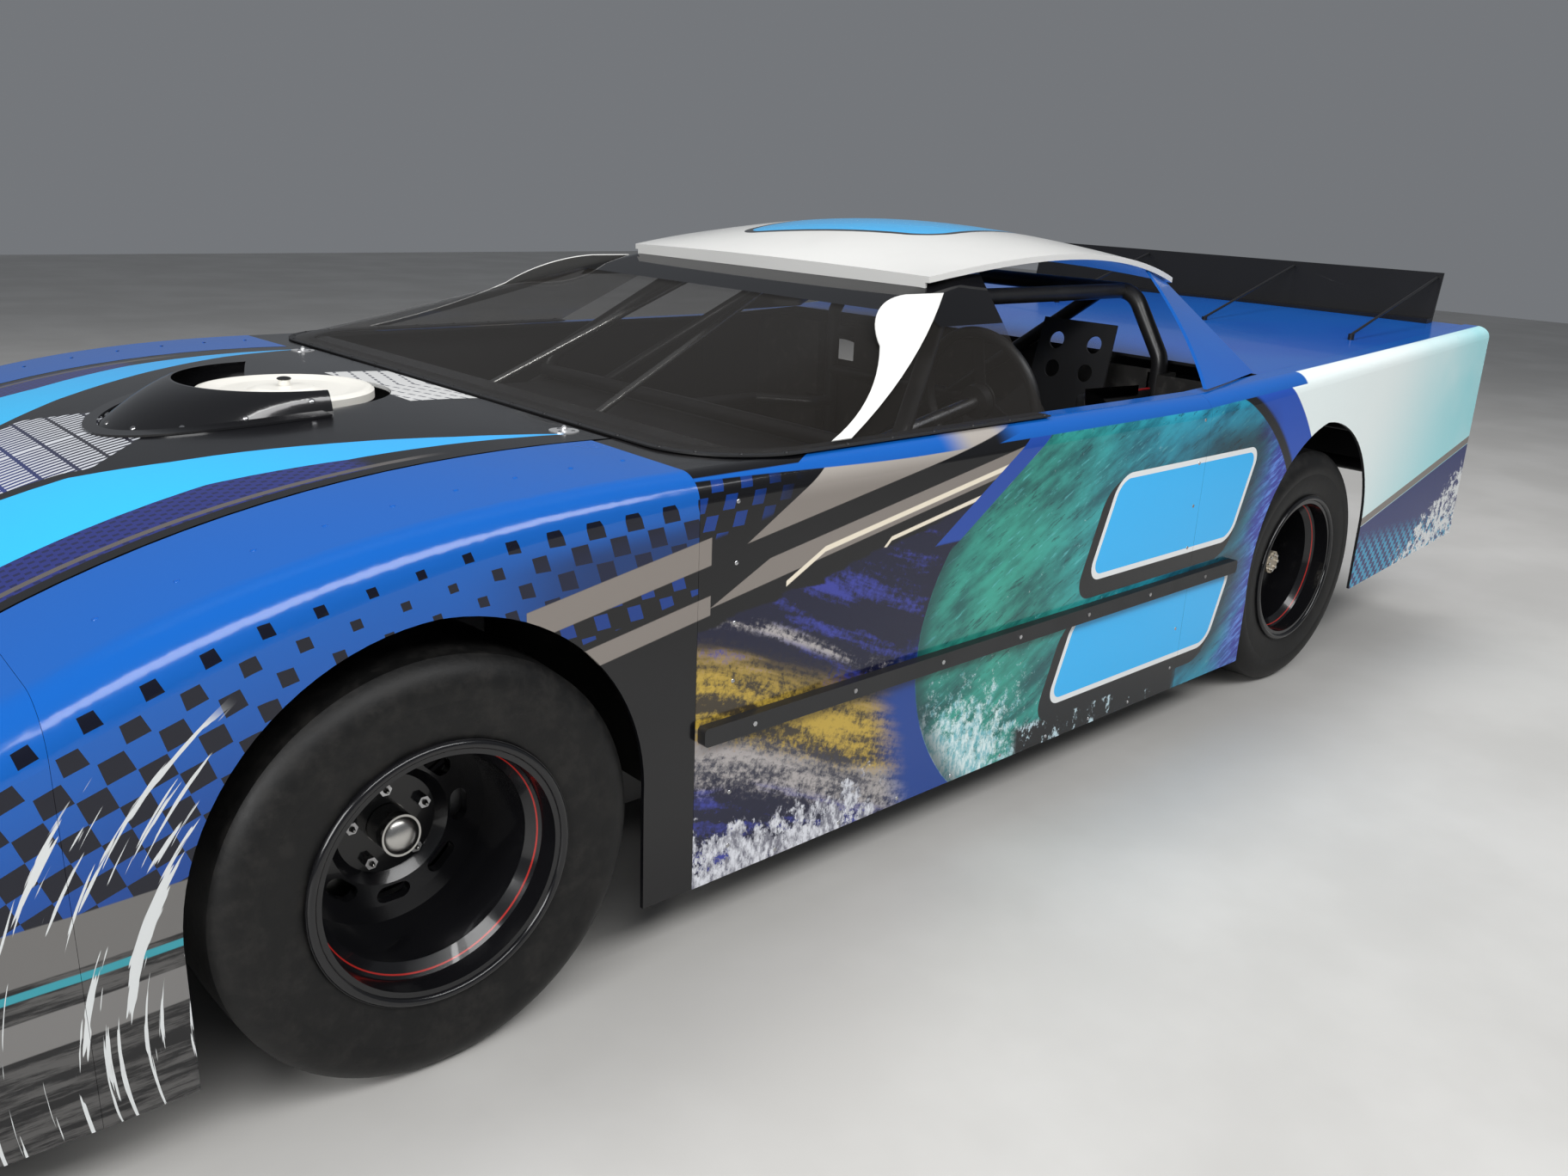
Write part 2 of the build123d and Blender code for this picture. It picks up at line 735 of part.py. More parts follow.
with BuildPart() as roof_hoop:
    add(
        bar(
            [
                (hoop_x, 490, cage_top), (-260, 490, cage_top), (-190, 420, cage_top),
                (-190, -420, cage_top), (-260, -490, cage_top), (hoop_x, -490, cage_top),
            ],
            brace_tube,
            30,
        )
    )
    for side in (-1, 1):
        post = [(-260, side * 488, cage_top - 2), (90, side * cage_y, 800), (130, side * cage_y, 300)]
        add(bar(post, brace_tube))
        add(bar([(130, side * cage_y, 306), (130, side * (main_rail_y - 4), floor_z - 20)], brace_tube - 1))
    add(bar([(102, cage_y, 766), (102, -cage_y, 766)], brace_tube - 1))
    add(bar([(-192, -60, cage_top - 2), (100, -400, 768)], brace_tube - 6))
with BuildPart() as door_bar:
    for z in door_bar_z:
        add(
            bar(
                [
                    (hoop_x, hoop_y - 2, z), (hoop_x + 70, hoop_y + 12, z), (hoop_x + 200, door_bar_y, z),
                    (20, door_bar_y, z), (118, cage_y - 2, z),
                ],
                brace_tube - 1,
                30,
            )
        )
    for x in (-560, -150):
        add(bar([(x, door_bar_y, door_bar_z[0] + 3), (x, door_bar_y, door_bar_z[-1] - 3)], brace_tube - 4))
with BuildPart() as braces:
    for side in (-1, 1):
        add(
            bar(
                [
                    (hoop_x, side * (hoop_y - 6), 835), (spring_x - 20, side * 540, spring_top_z),
                    (-1880, side * rear_rail_y, kick_z),
                ],
                brace_tube - 1,
            )
        )
        forward = [(105, side * (cage_y - 2), 740), (700, side * 440, 600), (1260, side * 400, 610)]
        add(bar(forward, brace_tube - 3))
    add(bar([(spring_x, 556, spring_top_z), (spring_x, -556, spring_top_z)], spring_bar))
hoop_piece = trimmed(main_hoop.part, main_frame.part)
roof_piece = trimmed(roof_hoop.part, main_frame.part, hoop_piece)
bars_piece = trimmed(both_sides(door_bar.part), hoop_piece, roof_piece)
save("cage_main_hoop", hoop_piece)
save("cage_roof_hoop", roof_piece)
save("cage_door_bars", bars_piece)
save("cage_braces", trimmed(braces.part, main_frame.part, front_clip.part, hoop_piece, roof_piece))

# Cabin tin: floor and walls round the driver, notched for the tubes that pass through
cabin_half = side_y - skin - 2 * seam
wall_top = belt_z - skin - seam
tunnel_half = 128
tunnel_top = 462


def tunnel(inset):
    """The gearbox tunnel's form from firewall to rear wall, drawn in by its sheet."""
    with BuildPart() as form:
        with BuildSketch(Plane.YZ.offset(rear_wall_x)):
            w = tunnel_half - inset
            Polygon(
                (-w, floor_z - 5), (w, floor_z - 5), (w, tunnel_top - 70), (w - 45, tunnel_top - inset),
                (-w + 45, tunnel_top - inset), (-w, tunnel_top - 70), align=None,
            )
        extrude(amount=firewall_x - rear_wall_x)
    return form.part


with BuildPart() as cabin_tin:
    add(tunnel(0))
    add(block(tub_x, firewall_x, -cabin_half, cabin_half, floor_z, floor_z + tin))
    add(block(rear_wall_x, tub_x + tin, -tub_y, tub_y, floor_z, floor_z + tin))
    add(block(firewall_x - tin, firewall_x, -cabin_half, cabin_half, floor_z, wall_top))
    add(block(rear_wall_x, rear_wall_x + tin, -tub_y, tub_y, floor_z, wall_top))
    for side in (-1, 1):
        near, far = sorted((side * tub_y, side * (tub_y - tin)))
        add(block(rear_wall_x, tub_x + tin, near, far, floor_z, wall_top))
        near, far = sorted((side * (tub_y - tin), side * cabin_half))
        add(block(tub_x, tub_x + tin, near, far, floor_z, wall_top))
    add(hull([(cowl_x + 100, *DOOR[0][1:]), (-1100, *DOOR[1][1:])], skin + seam), mode=Mode.INTERSECT)

# The rails, the cage's feet and bars and the drive line pass through the tin
with BuildPart() as tin_cut:
    for side in (-1, 1):
        with Locations((130, side * (main_rail_y + 8), floor_z)):
            Box(52, 90, 60)
        with Locations((firewall_x, side * 436, 600)):
            Box(60, 60, 60)
        with Locations((-980, side * (rear_rail_y + 20), floor_z + 120)):
            Box(176, 92, 300)
        with Locations((rear_wall_x, side * 610, 795)):
            Box(60, 80, 120)
        for z in door_bar_z:
            with Locations((tub_x - 5, side * 660, z)):
                Box(80, 90, 42)
        with Locations((rear_wall_x, side * 560, floor_z)):
            Box(200, 34, 60)
    add(block(rear_wall_x - 10, firewall_x + 10, -tunnel_half - 50, tunnel_half + 50, 0, floor_z))
    add(tunnel(tin))
with BuildPart() as cabin:
    add(cabin_tin.part)
    add(tin_cut.part, mode=Mode.SUBTRACT)
save("cabin_tin", cabin.part)


# Engine and gearbox as plain heavy masses on the centre line
engine_rear_x = 812
engine_front_x = 1392
engine_low = clip_low + fit_gap
with BuildPart() as engine:
    add(block(engine_rear_x, engine_front_x, -190, 190, engine_low, 560))
    with BuildSketch(Plane.YZ.offset(engine_rear_x + 20)):
        Polygon((-290, 480), (-215, 420), (215, 420), (290, 480), (205, 690), (-205, 690), align=None)
    extrude(amount=engine_front_x - engine_rear_x - 60)
    add(disc(cleaner_x, 0, 745, 62, 2 * (filter_low - 6 - fit_gap - 745), "z"))
save("engine_block", engine.part)
gearbox_front_x = engine_rear_x - fit_gap
gearbox_rear_x = 70
gearbox_z = 345
with BuildPart() as gearbox:
    add(rod_x(gearbox_front_x - 160, gearbox_front_x, 0, gearbox_z, 98))
    add(rod_x(gearbox_rear_x + 240, gearbox_front_x, 0, gearbox_z, 84))
    add(rod_x(gearbox_rear_x, gearbox_front_x, 0, gearbox_z, 52))
save("gearbox", gearbox.part)

# Wheels: deep-dish steel rims with the disc set far inboard and eight rounded slots
slot_count = 8
slot_circle = 118
with BuildPart() as rim:
    with BuildSketch(Plane.XY):
        with BuildLine():
            Polyline(
                (rim_lip_radius, rim_half), (rim_lip_radius, rim_half - 5),
                (rim_seat_radius + 2, rim_half - 9), (rim_seat_radius, rim_half - 42),
                (rim_well_radius, rim_half - 62), (rim_well_radius, -rim_half + 62),
                (rim_seat_radius, -rim_half + 42), (rim_seat_radius + 2, -rim_half + 9),
                (rim_lip_radius, -rim_half + 5), (rim_lip_radius, -rim_half),
                (rim_seat_radius - 4, -rim_half + 2), (rim_seat_radius - 5, -rim_half + 40),
                (rim_well_radius - 5, -rim_half + 60), (rim_well_radius - 5, disc_offset - 12),
                (rim_well_radius - 24, disc_offset), (disc_bore, disc_offset),
                (disc_bore, disc_offset + disc_sheet), (82, disc_offset + disc_sheet),
                (98, disc_offset + disc_sheet + 14), (138, disc_offset + disc_sheet + 10),
                (rim_well_radius - 5, disc_offset + disc_sheet + 8), (rim_well_radius - 5, rim_half - 60),
                (rim_seat_radius - 5, rim_half - 40), (rim_seat_radius - 4, rim_half - 2),
                (rim_lip_radius, rim_half),
            )
        make_face()
    revolve(axis=Axis.Y)
    with BuildSketch(Plane.XZ.offset(-disc_offset + 60)):
        with PolarLocations(slot_circle, slot_count):
            SlotOverall(56, 30, rotation=90)
    extrude(amount=-160, mode=Mode.SUBTRACT)

# Tyres: broad slicks, hollow, seated on the rim
shoulder_radius = 331
bulge_radius = 270
bead_radius = rim_seat_radius + 2 + fit_gap
with BuildPart() as tyre:
    with BuildSketch(Plane.XY):
        with BuildLine():
            half_tread = tread_width / 2
            half_tyre = tyre_width / 2
            inner_tread = half_tread - 6
            inner_top = shoulder_radius - tyre_wall
            bead_w = rim_half - 10
            ThreePointArc((shoulder_radius, half_tread), (tyre_radius, 0), (shoulder_radius, -half_tread))
            ThreePointArc(
                (shoulder_radius, -half_tread), (314, -half_tyre + 7), (bulge_radius, -half_tyre)
            )
            ThreePointArc((bulge_radius, -half_tyre), (232, -half_tyre + 2), (bead_radius + 4, -bead_w))
            Line((bead_radius + 4, -bead_w), (bead_radius, -bead_w + 1))
            Line((bead_radius, -bead_w + 1), (bead_radius, -bead_w + 16))
            Line((bead_radius, -bead_w + 16), (bulge_radius, -half_tyre + tyre_wall))
            Line((bulge_radius, -half_tyre + tyre_wall), (inner_top, -inner_tread))
            Line((inner_top, -inner_tread), (inner_top, inner_tread))
            Line((inner_top, inner_tread), (bulge_radius, half_tyre - tyre_wall))
            Line((bulge_radius, half_tyre - tyre_wall), (bead_radius, bead_w - 16))
            Line((bead_radius, bead_w - 16), (bead_radius, bead_w - 1))
            Line((bead_radius, bead_w - 1), (bead_radius + 4, bead_w))
            ThreePointArc((bead_radius + 4, bead_w), (232, half_tyre - 2), (bulge_radius, half_tyre))
            ThreePointArc((bulge_radius, half_tyre), (314, half_tyre - 7), (shoulder_radius, half_tread))
        make_face()
    revolve(axis=Axis.Y)

# Hubs with their brake discs; the bore runs on a spindle or an axle snout
hub_radius = 52
brake_radius = 140
brake_sheet = 26
brake_w = disc_offset - 38
bore_gap = 0.05


def hub(bore, cap):
    """A hub, flange, brake disc and outer cap, about the wheel's own centre."""
    with BuildPart() as turned:
        with BuildSketch(Plane.XY):
            with BuildLine():
                Polyline(
                    (bore, brake_w - 18), (hub_radius, brake_w - 18), (hub_radius, brake_w - brake_sheet / 2),
                    (brake_radius, brake_w - brake_sheet / 2), (brake_radius, brake_w + brake_sheet / 2),
                    (hub_radius, brake_w + brake_sheet / 2), (hub_radius, disc_offset - 12),
                    (82, disc_offset - 12), (82, disc_offset), (disc_bore - 1, disc_offset),
                    (disc_bore - 1, disc_offset + cap), (disc_bore - 8, disc_offset + cap + 12),
                    (0, disc_offset + cap + 15), (0, disc_offset + cap), (bore, disc_offset + cap - 10),
                    (bore, brake_w - 18),
                )
            make_face()
        revolve(axis=Axis.Y)
    return turned.part


front_cap = 42
rear_cap = 58
snout_radius = 30
front_hub = hub(spindle_radius + bore_gap, front_cap)
rear_hub = hub(snout_radius + bore_gap, rear_cap)
corners = [
    ("front_left", front_axle_x, 1, front_hub), ("front_right", front_axle_x, -1, front_hub),
    ("rear_left", rear_axle_x, 1, rear_hub), ("rear_right", rear_axle_x, -1, rear_hub),
]
for name, axle_x, side, hub_piece in corners:
    half_track = (front_track if axle_x > 0 else rear_track) / 2
    place = Location((axle_x, side * half_track, tyre_radius), (0, 0, 0 if side > 0 else 180))
    save(f"wheel_{name}", rim.part.moved(place))
    save(f"tyre_{name}", tyre.part.moved(place))
    save(f"hub_{name}", hub_piece.moved(place))

# Front knuckles: upright, spindle, ball studs, steering arm and brake caliper
stud = 8
upright_half = 13
arm_z = 256
arm_sheet = 12
arm_eye = 15
caliper_gap = 3
caliper_inner = 100
caliper_outer = 157
brake_y = front_track / 2 + brake_w
caliper_in = brake_y - 26
with BuildPart() as caliper:
    with BuildSketch(Plane.XZ.offset(-(brake_y + 26))):
        with BuildLine():
            CenterArc((front_axle_x, tyre_radius), caliper_outer, 150, 60)
            CenterArc((front_axle_x, tyre_radius), caliper_inner, 150, 60)
            for turn in (150, 210):
                c, k = cos(radians(turn)), sin(radians(turn))
                Line(
                    (front_axle_x + caliper_inner * c, tyre_radius + caliper_inner * k),
                    (front_axle_x + caliper_outer * c, tyre_radius + caliper_outer * k),
                )
        make_face()
    extrude(amount=52)
    gap_all_round = brake_sheet + 2 * caliper_gap
    disc_room = disc(front_axle_x, brake_y, tyre_radius, brake_radius + caliper_gap, gap_all_round)
    add(disc_room, mode=Mode.SUBTRACT)
with BuildPart() as knuckle:
    with BuildSketch(Plane.XZ.offset(-kingpin_y)):
        with BuildLine():
            top = tyre_radius + kingpin_reach - 8
            low = tyre_radius - kingpin_reach + 8
            Polyline(
                (front_axle_x - 18, low), (front_axle_x + 18, low), (front_axle_x + 44, tyre_radius),
                (front_axle_x + 18, top), (front_axle_x - 18, top), (front_axle_x - 44, tyre_radius),
                (front_axle_x - 18, low),
            )
        make_face()
    extrude(amount=upright_half, both=True)
    spindle_end = front_track / 2 + disc_offset + front_cap - 12
    spindle_middle = (kingpin_y + spindle_end) / 2
    add(disc(front_axle_x, spindle_middle, tyre_radius, spindle_radius, spindle_end - kingpin_y))
    for z in (tyre_radius - kingpin_reach - 8, tyre_radius + kingpin_reach + 8):
        add(disc(front_axle_x, kingpin_y, z, stud, 34, "z"))
    add(block(front_axle_x, rack_x, kingpin_y - 8, kingpin_y + 8, arm_z - arm_sheet, arm_z))
    add(disc(rack_x, kingpin_y, arm_z - arm_sheet / 2, 22, arm_sheet, "z"))
    add(disc(rack_x, kingpin_y, arm_z, arm_eye, 40, "z"), mode=Mode.SUBTRACT)
    add(caliper.part)
    add(block(front_axle_x - 150, front_axle_x - 30, kingpin_y - 4, caliper_in + 4, 315, 355))
save("knuckle_left", knuckle.part)
save("knuckle_right", mirrored(knuckle.part))

# Front suspension: lower and upper A-arms, springs over dampers
bush = 14
arm_tube = 11
tower_face = front_rail_y + 28
low_arm_z = tyre_radius - kingpin_reach - 8
low_arm_y = front_rail_y + rail_wide / 2 + bush + fit_gap
low_arm_x = 150
arm_tip_y = kingpin_y - 12
arm_tip_x = 12
spring_bar_share = 0.54
spring_bar_y = low_arm_y + spring_bar_share * (arm_tip_y - low_arm_y)
spring_bar_half = low_arm_x + spring_bar_share * (arm_tip_x - low_arm_x)
spring_top_y = front_rail_y + 60
with BuildPart() as front_arms:
    for z, inner_y, inner_x in (
        (low_arm_z, low_arm_y, low_arm_x),
        (tyre_radius + kingpin_reach + 8, tower_face + bush + fit_gap, 86),
    ):
        for end in (-1, 1):
            add(disc(front_axle_x + end * inner_x, inner_y, z, bush, 44, "x"))
            pivot = (front_axle_x + end * inner_x, inner_y, z)
            add(bar([pivot, (front_axle_x + end * arm_tip_x, arm_tip_y, z)], arm_tube))
        add(disc(front_axle_x, kingpin_y, z, 20, 16, "z"))
        add(disc(front_axle_x, kingpin_y, z, stud + fit_gap, 60, "z"), mode=Mode.SUBTRACT)
    add(rod_x(front_axle_x - spring_bar_half, front_axle_x + spring_bar_half, spring_bar_y, low_arm_z, 9))
damper_foot = Vector(front_axle_x, spring_bar_y - 9, low_arm_z + 7)
damper_top = Vector(front_axle_x, spring_top_y, 621)
along = damper_top - damper_foot
with BuildPart() as front_spring:
    add(bar([damper_foot, damper_top], 24))
    add(bar([damper_foot + along * 0.14, damper_foot + along * 0.86], 42))
save("front_arms", both_sides(front_arms.part))
save("front_springs", both_sides(front_spring.part))

# Steering rack: a fixed housing and the rod that slides through it
rod_radius = 11
rack_half = 270
rod_end_y = kingpin_y
with BuildPart() as rack:
    add(disc(rack_x, 0, rack_z, rack_tube, 2 * rack_half))
    add(disc(rack_x, 0, rack_z, rod_radius + fit_gap, 2 * rack_half + 10), mode=Mode.SUBTRACT)
save("steering_rack", rack.part)
with BuildPart() as rod:
    add(disc(rack_x, 0, rack_z, rod_radius, 2 * rod_end_y))
    for side in (-1, 1):
        add(disc(rack_x, side * rod_end_y, rack_z, 15, 22, "z"))
        add(disc(rack_x, side * rod_end_y, (rack_z + arm_z) / 2 - 8, 5, rack_z - arm_z + 18, "z"))
save("tie_rods", rod.part)

# Rear axle: tubes, centre section and snouts
axle_nose_x = rear_axle_x + 170
axle_tube = 38
with BuildPart() as axle:
    snout_end = rear_track / 2 + disc_offset + rear_cap - 14
    tube_end = rear_track / 2 + brake_w - 18 - 2
    add(disc(rear_axle_x, 0, tyre_radius, axle_tube, 2 * tube_end))
    add(disc(rear_axle_x, 0, tyre_radius, snout_radius, 2 * snout_end))
    with BuildSketch(Plane.YZ.offset(rear_axle_x - 110)):
        with Locations((0, tyre_radius)):
            Circle(70)
    with BuildSketch(Plane.YZ.offset(rear_axle_x)):
        with Locations((0, tyre_radius)):
            Circle(150)
    with BuildSketch(Plane.YZ.offset(axle_nose_x)):
        with Locations((0, tyre_radius)):
            Circle(55)
    loft(ruled=True)
save("rear_axle", axle.part)

# Rear links and springs, the drive shaft from gearbox to axle
link_bush = 18
link_x = rear_cross_x - rail_wide / 2 - link_bush - fit_gap
link_y = 560
link_z = 176
pad_z = 262
with BuildPart() as rear_side:
    add(bar([(link_x, link_y, link_z), (rear_axle_x + 20, link_y, pad_z)], 13))
    add(disc(link_x, link_y, link_z, link_bush, 50))
    add(disc(rear_axle_x, link_y, pad_z, 20, 40))
    add(bar([(rear_axle_x, link_y, pad_z), (rear_axle_x, link_y, tyre_radius)], 12))
    add(disc(rear_axle_x, link_y, tyre_radius, axle_tube + fit_gap, 80), mode=Mode.SUBTRACT)
with BuildPart() as rear_spring:
    add(bar([(rear_axle_x, 430, tyre_radius), (spring_x, 410, spring_top_z)], 22))
    add(bar([(rear_axle_x - 15, 426, tyre_radius + 90), (spring_x + 15, 414, spring_top_z - 100)], 44))
    add(disc(rear_axle_x, 430, tyre_radius, axle_tube + fit_gap, 200), mode=Mode.SUBTRACT)
    add(disc(spring_x, 410, spring_top_z, spring_bar + fit_gap, 200), mode=Mode.SUBTRACT)
save("rear_links", both_sides(rear_side.part))
save("rear_springs", both_sides(rear_spring.part))
with BuildPart() as shaft:
    add(rod_x(axle_nose_x + fit_gap, gearbox_rear_x - fit_gap, 0, gearbox_z, 38))
save("drive_shaft", shaft.part)

# Steering column and wheel
wheel_centre = Vector(-520, 400, 790)
column_foot = Vector(250, 400, 640)
column_line = (column_foot - wheel_centre).normalized()
with BuildPart() as column:
    add(bar([tuple(wheel_centre + column_line * 14), tuple(column_foot)], 17))
save("steering_column", column.part)
grip_radius = 178
with BuildPart() as steering:
    with BuildSketch(Plane(origin=wheel_centre, x_dir=(0, 1, 0), z_dir=column_line)) as face_plane:
        Circle(45)
    extrude(amount=13.5)
    with BuildSketch(Plane(origin=wheel_centre - column_line * 20, x_dir=(0, 1, 0), z_dir=column_line)):
        with PolarLocations(grip_radius / 2, 3, start_angle=90):
            Rectangle(grip_radius, 34)
        Circle(48)
    extrude(amount=5)
    with BuildSketch(Plane(origin=wheel_centre - column_line * 17, x_dir=(0, 1, 0), z_dir=column_line)):
        Circle(44)
    extrude(amount=20)
    ring_plane = Plane(origin=wheel_centre - column_line * 17, x_dir=(0, 1, 0), z_dir=column_line)
    ring_start = ring_plane.origin + ring_plane.x_dir * grip_radius
    with BuildSketch(Plane(origin=ring_start, x_dir=ring_plane.x_dir, z_dir=ring_plane.y_dir)):
        Circle(14)
    revolve(axis=Axis(ring_plane.origin, ring_plane.z_dir))
save("steering_wheel", steering.part)

# Dash, seat, fuel cell, radiator and grille screen
dash_front = firewall_x - tin - fit_gap
with BuildPart() as dash:
    with BuildSketch(Plane.XZ.offset(-640)):
        Polygon(
            (dash_front, 744), (40, 744), (18, 600), (24, 600), (45, 738), (dash_front, 738), align=None,
        )
    extrude(amount=1280)
    add(bar([tuple(wheel_centre), tuple(column_foot)], 17.5), mode=Mode.SUBTRACT)
save("dash_panel", dash.part)
seat_y = 400
with BuildPart() as seat:
    back = Plane(origin=(-775, seat_y, 300), x_dir=(0, 1, 0), z_dir=(cos(radians(14)), 0, sin(radians(14))))
    with BuildSketch(back):
        Polygon(
            (-230, 0), (230, 0), (215, 430), (125, 520),
            (120, 700), (-120, 700), (-125, 520), (-215, 430), align=None,
        )
        with Locations((-55, 560), (55, 560), (-62, 640), (62, 640)):
            Circle(24, mode=Mode.SUBTRACT)
    extrude(amount=-5)
    with Locations((-575, seat_y, 302)):
        Box(404, 440, 5)
    with Locations((-590, seat_y, (floor_z + tin + fit_gap + 300) / 2)):
        Box(300, 360, 300 - floor_z - tin - fit_gap)
    for side in (-1, 1):
        with BuildSketch(Plane.XZ.offset(-(seat_y + side * 222))):
            Polygon((-765, 280), (-370, 280), (-370, 380), (-700, 440), (-740, 720), (-880, 720), align=None)
        extrude(amount=5, both=True)
save("seat", seat.part)
with BuildPart() as fuel_cell:
    cell_front = cell_cross_x[0] - rail_wide / 2 - fit_gap
    cell_rear = cell_cross_x[1] + rail_wide / 2 + fit_gap
    add(block(cell_rear, cell_front, -300, 300, 225, kick_z + 8))
save("fuel_cell", fuel_cell.part)
with BuildPart() as radiator:
    add(block(1975, 2035, -330, 330, clip_low + fit_gap, 545))
save("radiator", radiator.part)
with BuildPart() as grille:
    screen_x = nose_x - skin - fit_gap
    edge = 12
    across = (-grille_half - edge, grille_half + edge)
    add(block(screen_x - 3, screen_x, *across, grille_low - edge, grille_high + edge))
    with Locations((nose_x - skin - 2, 0, (grille_low + grille_high) / 2)):
        with GridLocations(40, 34, 18, 3):
            Box(20, 34, 28, mode=Mode.SUBTRACT)
save("grille_screen", grille.part)

# Hood hinges: leaves fixed to the nose with a pin, and barrels that belong to the hood
hinge_z = 751
hinge_ys = (-420, 420)
pin_radius = 3
barrel = 6
leaf_sheet = 3
with BuildPart() as leaves:
    for y in hinge_ys:
        for side in (-1, 1):
            add(block(nose_seam_x + 1, nose_seam_x + 45, y + side * 37 - 13, y + side * 37 + 13, 600, 800))
    add(hull(NOSE, -fit_gap - leaf_sheet), mode=Mode.INTERSECT)
with BuildPart() as hinges:
    for y in hinge_ys:
        add(disc(nose_seam_x, y, hinge_z, pin_radius, 100))
        for side in (-1, 1):
            add(disc(nose_seam_x, y + side * 37, hinge_z, barrel, 26))
            leaf_y = y + side * 37
            add(block(nose_seam_x + 1, nose_seam_x + 12, leaf_y - 13, leaf_y + 13, 700, hinge_z))
    add(leaves.part)
    add(hull(NOSE, -fit_gap), mode=Mode.SUBTRACT)
save("hood_hinges", hinges.part)
with BuildPart() as hinged_hood:
    add(hood.part)
    for y in hinge_ys:
        add(disc(nose_seam_x, y, hinge_z, barrel, 46))
        add(block(hood_front_x - 12, nose_seam_x, y - 23, y + 23, 734, hinge_z))
        add(disc(nose_seam_x, y, hinge_z, pin_radius + fit_gap, 120), mode=Mode.SUBTRACT)
save("hood", hinged_hood.part)
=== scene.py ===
import math

import bmesh
import bpy
from mathutils import Matrix, Vector
from mathutils.bvhtree import BVHTree


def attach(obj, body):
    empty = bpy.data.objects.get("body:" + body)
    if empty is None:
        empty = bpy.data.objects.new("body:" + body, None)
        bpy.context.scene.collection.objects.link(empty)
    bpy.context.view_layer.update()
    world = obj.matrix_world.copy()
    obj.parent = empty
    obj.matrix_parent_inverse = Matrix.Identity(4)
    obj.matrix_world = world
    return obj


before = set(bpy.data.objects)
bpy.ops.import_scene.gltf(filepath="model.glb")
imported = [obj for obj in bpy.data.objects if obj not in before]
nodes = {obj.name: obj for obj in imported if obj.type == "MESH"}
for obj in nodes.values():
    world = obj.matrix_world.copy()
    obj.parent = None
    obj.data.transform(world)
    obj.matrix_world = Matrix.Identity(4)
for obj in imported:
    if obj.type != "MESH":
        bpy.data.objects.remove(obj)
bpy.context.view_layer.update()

# Studio: a pale smooth floor, a dim grey room and soft boxes overhead.
# The thin strip draws the bright lines that run along the glossy panels.
scene = bpy.context.scene
scene.view_settings.view_transform = "Standard"
world = bpy.data.worlds.new("studio_air")
world.use_nodes = True
air = world.node_tree.nodes["Background"].inputs
air["Color"].default_value = (0.80, 0.84, 0.90, 1)
air["Strength"].default_value = 0.22
scene.world = world
soft_boxes = (
    # name, place, aim, size, power, seen in gloss
    ("box_over_left", (0.6, 4.6, 4.4), (0.2, 0.8, 0.5), (6.5, 1.2), 190, True),
    ("strip_left", (0.3, 3.4, 4.0), (0.1, 0.8, 0.7), (6.0, 0.08), 32, True),
    ("box_over_nose", (5.8, 2.8, 3.0), (0.2, 0.1, 0.9), (2.4, 2.8), 210, True),
    ("box_top", (-0.6, -0.6, 5.4), (-0.4, 0, 0.5), (7.0, 1.6), 210, False),
    ("box_rear_right", (-3.8, -4.2, 3.6), (-0.8, 0, 0.7), (4.0, 1.2), 110, False),
)
for name, place, aim, size, power, seen_in_gloss in soft_boxes:
    lamp = bpy.data.lights.new(name, "AREA")
    lamp.shape = "RECTANGLE"
    lamp.size, lamp.size_y = size
    lamp.energy = power
    box = bpy.data.objects.new(name, lamp)
    box.location = place
    box.rotation_euler = (Vector(aim) - Vector(place)).to_track_quat("-Z", "Y").to_euler()
    box.visible_glossy = seen_in_gloss
    scene.collection.objects.link(box)
far = 16
floor_mesh = bpy.data.meshes.new("floor")
floor_mesh.from_pydata([(-far, -far, 0), (far, -far, 0), (far, far, 0), (-far, far, 0)], [], [(0, 1, 2, 3)])
floor = bpy.data.objects.new("floor", floor_mesh)
scene.collection.objects.link(floor)

# Camera: the photograph's own view, from standing height over the left front corner.
# Its place and turn were fitted to the wheels, the hood pins, the sills and the roof's corners.
eye = Vector((2.082, 2.491, 1.324))
yaw, pitch, roll = (math.radians(a) for a in (227.05, -17.94, 2.54))
ahead = Vector((math.cos(pitch) * math.cos(yaw), math.cos(pitch) * math.sin(yaw), math.sin(pitch)))
level = ahead.cross(Vector((0, 0, 1))).normalized()
upright = level.cross(ahead)
right = math.cos(roll) * level + math.sin(roll) * upright
up = math.cos(roll) * upright - math.sin(roll) * level
lens = bpy.data.cameras.new("photo_view")
lens.lens = 29.11
lens.sensor_width = 36
lens.clip_start = 0.05
camera = bpy.data.objects.new("photo_view", lens)
camera.matrix_world = Matrix((right, up, -ahead)).transposed().to_4x4()
camera.location = eye
scene.collection.objects.link(camera)
scene.camera = camera


